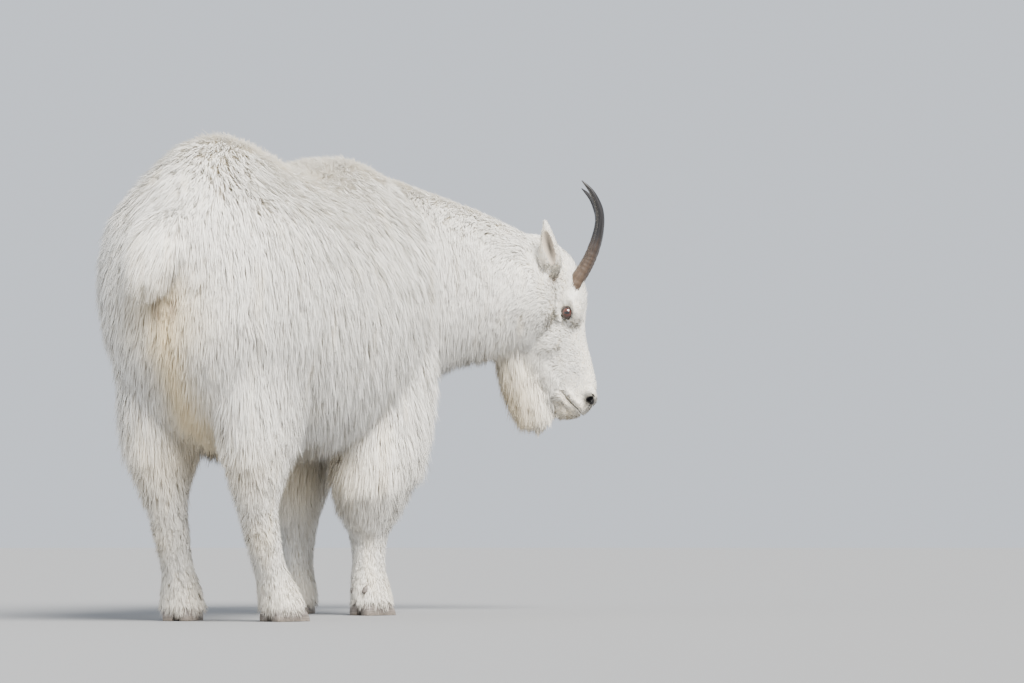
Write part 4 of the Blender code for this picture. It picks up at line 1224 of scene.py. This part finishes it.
def hoof_material(settings):
    """Dull hoof horn with growth lines round it, paler and scuffed near the ground."""
    paint = Paint("hoof, dull and scuffed")
    lines = paint.noise(40.0, 5.0, 0.6, (1, 1, 9))
    scuff = paint.noise(220.0, 5.0, 0.7)
    hoof = paint.mix(settings.horn, scaled(settings.horn, 2.4), paint.ramp(lines, 0.4, 0.75))
    place = paint.node("ShaderNodeTexCoord").outputs["Object"]
    up = paint.node("ShaderNodeSeparateXYZ", {0: place}).outputs["Z"]
    dusty = paint.maths("MULTIPLY", paint.ramp(up, 0.012, 0.0), scuff)
    paint.bump(lines, 0.0015, 0.6)
    return paint.surface(paint.mix(hoof, (0.30, 0.25, 0.20), dusty), 0.55)


def floor_material(settings):
    paint = Paint("floor, plain and pale")
    pale = scaled(settings.floor, 1.03)
    return paint.surface(paint.mix(settings.floor, pale, paint.noise(60.0, 3.0)), 0.9)


class GoatSkin(bpy.types.Operator):
    """Makes the skin of the body and head, which stands for the solid flesh"""

    bl_idname = "goat.skin"
    bl_label = "Skin"

    def execute(self, context):
        body = body_skin()
        head = head_skin()
        head.data.transform(head_place())
        skin = combine(body, head, "UNION")
        skin.name = "skin"
        in_order(skin)
        unwrap(skin)
        places = coords(skin.data).astype(float)
        marks = markings_at(places)
        local = near_side(places)
        cup = in_ear_cup(local)
        slit = np.exp(-(((local - EAR_CUP[0])[:, 1:] / EAR_SLIT) ** 2).sum(1))
        lips = near_mouth(local, (local[:, 1] > 0.29) & (local[:, 2] < 0), LIP_DARK)
        marks[:, 1] = np.maximum(marks[:, 1], 0.6 * cup)
        marks[:, 2] = np.maximum(marks[:, 2], 0.9 * cup * slit)
        marks[:, 2] = np.maximum(marks[:, 2], 0.9 * lips)
        add_marks(skin.data, marks)
        flesh = [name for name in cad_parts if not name.startswith(("eye", "horn", "claw", "dewclaw"))]
        finish_piece(skin, hair_material("hide under the coat", context.scene.goat_coat, True), "coat", flesh)
        return {"FINISHED"}


class GoatCoat(bpy.types.Operator):
    """Lays the coat of tufts on the skin"""

    bl_idname = "goat.coat"
    bl_label = "Coat"

    def execute(self, context):
        settings = context.scene.goat_coat
        rng = np.random.default_rng(SEED)
        mesh = bpy.data.objects["skin"].data.copy()
        mesh.transform(Matrix.Translation(MIDDLE_OF_BOX))
        skin = Skin(mesh)
        names, anchors, lies, values = coat_rows()
        nearest = np.empty(len(skin.middles), int)
        for start in range(0, len(nearest), ROWS_AT_ONCE):
            part = skin.middles[start : start + ROWS_AT_ONCE]
            nearest[start : start + ROWS_AT_ONCE] = ((part[:, None] - anchors[None]) ** 2).sum(2).argmin(1)
        kinds = np.array(names)[nearest]
        density = blended(skin.middles, anchors, values[:, 3:4])[:, 0] * 1e4
        density[bare(skin.middles)] = 0
        wanted = skin.areas * density
        cost = np.where(kinds == "beard", 5, 3)
        scale = settings.triangles * 1.0 / (wanted * cost).sum()
        material = hair_material("hair", settings, False)
        for name in sorted(set(names)):
            here = np.flatnonzero(kinds == name)
            share = wanted[here] / wanted[here].sum()
            triangles = np.sort(rng.choice(here, int(wanted[here].sum() * scale), p=share))
            roots = skin.scatter(triangles, rng)
            keep = ~bare(roots[0])
            roots = tuple(rows[keep] for rows in roots)
            places, _, flat = roots
            local = blended(places, anchors, np.hstack([lies, values]))
            own_values = local[:, 3:] * (settings.length, 1, 1, 1)
            corners, shares, facing = coat_of(skin, name, roots, rng, own_values, unit(local[:, :3]))
            pieces = math.ceil(len(corners) * cost[here[0]] / MOST_IN_PIECE)
            order = np.argsort(places[:, 1] if pieces > 1 else places[:, 0], kind="stable")
            for i, chosen in enumerate(np.array_split(order, pieces)):
                label = f"coat_{name}_{i + 1}" if pieces > 1 else f"coat_{name}"
                picked = [rows[chosen] for rows in (corners, flat, places, facing)]
                finish_piece(tuft_mesh(label, shares, *picked, rng), material, "coat")
        bpy.data.meshes.remove(mesh)
        return {"FINISHED"}


class GoatEyes(bpy.types.Operator):
    """Makes the eyes and their lids"""

    bl_idname = "goat.eyes"
    bl_label = "Eyes"

    def execute(self, context):
        settings = context.scene.goat_eye
        wet = eye_material(settings)
        rim = lid_material()
        for side, word in SIDES:
            finish_on_head(eyeball(side, settings.radius), f"eyeball_{word}", wet, "eye", [f"eye_{word}"])
            finish_on_head(lids(side, settings.radius), f"eyelids_{word}", rim, "coat")
        return {"FINISHED"}


def eye_axes(side):
    """The eye's frame in the head's: Z looks out and X is level with the ground."""
    out = mirrored(EYE_LOOKS, side).normalized()
    down = head_place().to_3x3().inverted() @ -Z
    level = out.cross(down).normalized()
    up = out.cross(level).normalized()
    return Matrix((level, up, out)).transposed()


def eyeball(side, radius):
    bm = bmesh.new()
    bmesh.ops.create_uvsphere(bm, u_segments=64, v_segments=40, radius=radius)
    bulge = math.sqrt(radius**2 - CORNEA**2)
    for vert in bm.verts:
        away = math.hypot(vert.co.x, vert.co.y)
        if vert.co.z > bulge:
            vert.co.z += CORNEA_BULGE * (1 - (away / CORNEA) ** 2)
    layer = bm.loops.layers.uv.new("Eye")
    for face in bm.faces:
        for loop in face.loops:
            spot = loop.vert.co
            turn = math.hypot(spot.x, spot.y) or 1.0
            reach = math.atan2(turn, spot.z) * radius / CORNEA
            loop[layer].uv = (spot.x / turn * reach, spot.y / turn * reach)
    place = Matrix.Translation(mirrored(EYE_AT, side)) @ eye_axes(side).to_4x4()
    bmesh.ops.transform(bm, matrix=place, verts=bm.verts)
    return object_from(bm, "eyeball")


def lids(side, radius):
    """Both lids round one eye: a dark rim that wraps the eyeball, and skin that runs under the fur."""
    centre = mirrored(EYE_AT, side)
    wide, high = LID_OPENING
    bm = bmesh.new()
    loops = []
    for i in range(LID_STATIONS):
        turn = 2 * math.pi * i / LID_STATIONS
        corner = 1 + 0.16 * max(0.0, math.cos(turn)) ** 6
        along = wide * math.cos(turn) * corner
        upward = high * math.sin(turn) * (1 - 0.22 * abs(math.cos(turn)))
        verts = []
        for grown, raised in LID_PROFILE:
            y, z = along * grown, upward * grown
            x = math.sqrt(max(radius**2 - y**2 - z**2, 1e-6))
            spot = Vector((side * x, -y, z))
            verts.append(bm.verts.new(centre + spot.normalized() * (radius + raised)))
        loops.append([bm.edges.new(pair) for pair in zip(verts, verts[1:])])
    bridge(bm, loops, closed=True)
    obj = object_from(bm, "lids")
    thick = obj.modifiers.new("thick", "SOLIDIFY")
    thick.thickness = LID_THICKNESS
    thick.offset = -1
    settle(obj)
    return rounded(obj, 1)


class GoatHorns(bpy.types.Operator):
    """Makes the horns"""

    bl_idname = "goat.horns"
    bl_label = "Horns"

    def execute(self, context):
        settings = context.scene.goat_horn
        material = horn_material(settings)
        for side, word in SIDES:
            obj = horn(side, settings.ring_height)
            finish_on_head(obj, f"ringed_horn_{word}", material, "horn", [f"horn_{word}"])
        return {"FINISHED"}


def horn(side, ring_height):
    """A horn that bends back, with uneven growth rings up to its middle."""
    rows = curve_through(HORN, HORN_STATIONS)
    bm = bmesh.new()
    points = [mirrored(row[:3], side) for row in rows]
    radii = []
    for i, row in enumerate(rows):
        share = i / (HORN_STATIONS - 1)
        fade = float(1 - smooth_step(HORN_RINGS_END - 0.16, HORN_RINGS_END, share))
        phase = share / HORN_RINGS_END * HORN_RING_COUNT + 0.5 * math.sin(share * 31)
        ridge = (0.5 + 0.5 * math.sin(2 * math.pi * phase)) ** 0.6 - 0.5
        swell = ring_height * ridge * fade
        radii.append((max(row[3] * 0.92 + swell, 0.0006), max(row[3] + swell, 0.0006)))
    tube(bm, points, radii, HORN_SIDES, X)
    bm.verts.ensure_lookup_table()
    bm.faces.ensure_lookup_table()
    layer = bm.loops.layers.uv.new("Horn")
    for face in bm.faces:
        rings = [loop.vert.index // HORN_SIDES for loop in face.loops]
        turns = [loop.vert.index % HORN_SIDES for loop in face.loops]
        wraps = max(turns) - min(turns) > HORN_SIDES / 2
        for loop, ring, turn in zip(face.loops, rings, turns):
            shown = turn + HORN_SIDES if wraps and turn < HORN_SIDES / 2 else turn
            loop[layer].uv = (shown / HORN_SIDES, ring / (HORN_STATIONS - 1))
    return object_from(bm, "horn")


class GoatHooves(bpy.types.Operator):
    """Makes the cloven hooves and the dewclaws"""

    bl_idname = "goat.hooves"
    bl_label = "Hooves"

    def execute(self, context):
        material = hoof_material(context.scene.goat_hoof)
        for name in FEET:
            for side, word in ((1, "a"), (-1, "b")):
                for make, piece, node in ((claw, "hoof", "claw"), (dewclaw, "spur", "dewclaw")):
                    obj = make(name, side)
                    obj.name = f"{piece}_{name}_{word}"
                    finish_piece(obj, material, "hoof", [f"{node}_{name}_{word}"])
        return {"FINISHED"}


def claw(name, side):
    """One of a foot's two claws, flat underneath on the floor."""
    bm = bmesh.new()
    loops = []
    for i, (forward, top, widest, half_wide) in enumerate(curve_through(CLAW, 26)):
        ridge = 0.00025 * math.sin(i * 2.1)
        centre = (side * CLAW_APART, -forward, widest)
        loops.append(oval(bm, centre, X, Z, half_wide + ridge, top - widest + ridge, widest + 0.01, 28))
    bridge(bm, loops)
    cut = bm.verts[:] + bm.edges[:] + bm.faces[:]
    made = bmesh.ops.bisect_plane(bm, geom=cut, plane_co=(0, 0, 0), plane_no=(0, 0, -1), clear_outer=True)
    rim = [item for item in made["geom_cut"] if isinstance(item, bmesh.types.BMEdge)]
    bmesh.ops.contextual_create(bm, geom=rim)
    bmesh.ops.transform(bm, matrix=foot_place(name), verts=bm.verts)
    return object_from(bm, "claw")


def dewclaw(name, side):
    centre = mirrored((DEWCLAW_AT[0], -DEWCLAW_AT[1], DEWCLAW_AT[2]), side)
    obj = ball_object("dewclaw", centre, DEWCLAW_SIZE, Matrix.Rotation(math.radians(25), 4, "X"))
    obj.data.transform(foot_place(name))
    return obj


class GoatStage(bpy.types.Operator):
    """Lays the floor and sets the lights and the camera"""

    bl_idname = "goat.stage"
    bl_label = "Stage"

    def execute(self, context):
        settings = context.scene.goat_stage
        bm = bmesh.new()
        bmesh.ops.create_circle(bm, cap_ends=True, segments=64, radius=FLOOR_RADIUS)
        floor = object_from(bm, "floor")
        floor.data.materials.append(floor_material(settings))
        right = Vector((-math.cos(CAMERA_TURN), -math.sin(CAMERA_TURN), 0))
        ahead = Vector((math.sin(CAMERA_TURN), -math.cos(CAMERA_TURN), 0))
        add_camera(context.scene, right, ahead)
        axes = Matrix((right, ahead, Z)).transposed()
        sun = add_light("key", "SUN", settings.key, KEY_COLOUR, axes @ Vector(KEY_FROM))
        sun.angle = KEY_SOFTNESS
        fill = add_light("fill", "AREA", FILL_POWER, FILL_COLOUR, axes @ Vector(FILL_FROM))
        fill.shape = "DISK"
        fill.size = FILL_SIZE
        world = bpy.data.worlds.new("air")
        context.scene.world = world
        world.use_nodes = True
        background = world.node_tree.nodes["Background"]
        background.inputs["Color"].default_value = (*AIR_COLOUR, 1)
        background.inputs["Strength"].default_value = AIR_STRENGTH
        return {"FINISHED"}


def add_camera(scene, right, ahead):
    data = bpy.data.cameras.new("camera")
    data.sensor_width = SENSOR
    data.lens = CAMERA_FOCAL_PIXELS / PICTURE_SIZE[0] * SENSOR
    camera = bpy.data.objects.new("camera", data)
    scene.collection.objects.link(camera)
    at = CAMERA_FROM + right * CAMERA_SHIFT_RIGHT - ahead * CAMERA_AWAY
    pitch = math.atan((CAMERA_HORIZON - PICTURE_SIZE[1] / 2) / CAMERA_FOCAL_PIXELS)
    look = ahead * math.cos(pitch) + Z * math.sin(pitch)
    camera.location = at - MIDDLE_OF_BOX
    camera.rotation_mode = "QUATERNION"
    camera.rotation_quaternion = look.to_track_quat("-Z", "Y")
    scene.camera = camera


def add_light(name, kind, energy, colour, away):
    """A light that stands off the middle of the goat and shines at it; returns its settings."""
    data = bpy.data.lights.new(name, kind)
    data.energy = energy
    data.color = colour
    light = bpy.data.objects.new(name, data)
    bpy.context.scene.collection.objects.link(light)
    light.location = STAGE_MIDDLE + away
    light.rotation_mode = "QUATERNION"
    light.rotation_quaternion = away.to_track_quat("Z", "Y")
    return data


class GoatPanel(bpy.types.Panel):
    """Lists the goat's settings and the pieces to make"""

    bl_idname = "VIEW3D_PT_goat"
    bl_label = "Mountain Goat"
    bl_space_type = "VIEW_3D"
    bl_region_type = "UI"
    bl_category = "Goat"

    def draw(self, context):
        layout = self.layout
        for group, operators in PARTS:
            settings = getattr(context.scene, group)
            box = layout.box()
            for key in settings.bl_rna.properties.keys():
                if key not in ("rna_type", "name"):
                    box.prop(settings, key)
            for operator in operators:
                box.operator(operator)


SETTINGS = {
    "goat_coat": GoatCoatSettings,
    "goat_eye": GoatEyeSettings,
    "goat_horn": GoatHornSettings,
    "goat_hoof": GoatHoofSettings,
    "goat_stage": GoatStageSettings,
}
PARTS = (
    ("goat_coat", ("goat.skin", "goat.coat")),
    ("goat_eye", ("goat.eyes",)),
    ("goat_horn", ("goat.horns",)),
    ("goat_hoof", ("goat.hooves",)),
    ("goat_stage", ("goat.stage",)),
)
CLASSES = (*SETTINGS.values(), GoatSkin, GoatCoat, GoatEyes, GoatHorns, GoatHooves, GoatStage, GoatPanel)


def register():
    for item in CLASSES:
        bpy.utils.register_class(item)
    for name, group in SETTINGS.items():
        setattr(bpy.types.Scene, name, PointerProperty(type=group))


def unregister():
    for name in SETTINGS:
        delattr(bpy.types.Scene, name)
    for item in reversed(CLASSES):
        bpy.utils.unregister_class(item)


def main():
    register()
    for _, operators in PARTS:
        for name in operators:
            group, piece = name.split(".")
            getattr(getattr(bpy.ops, group), piece)()


if __name__ == "__main__":
    main()
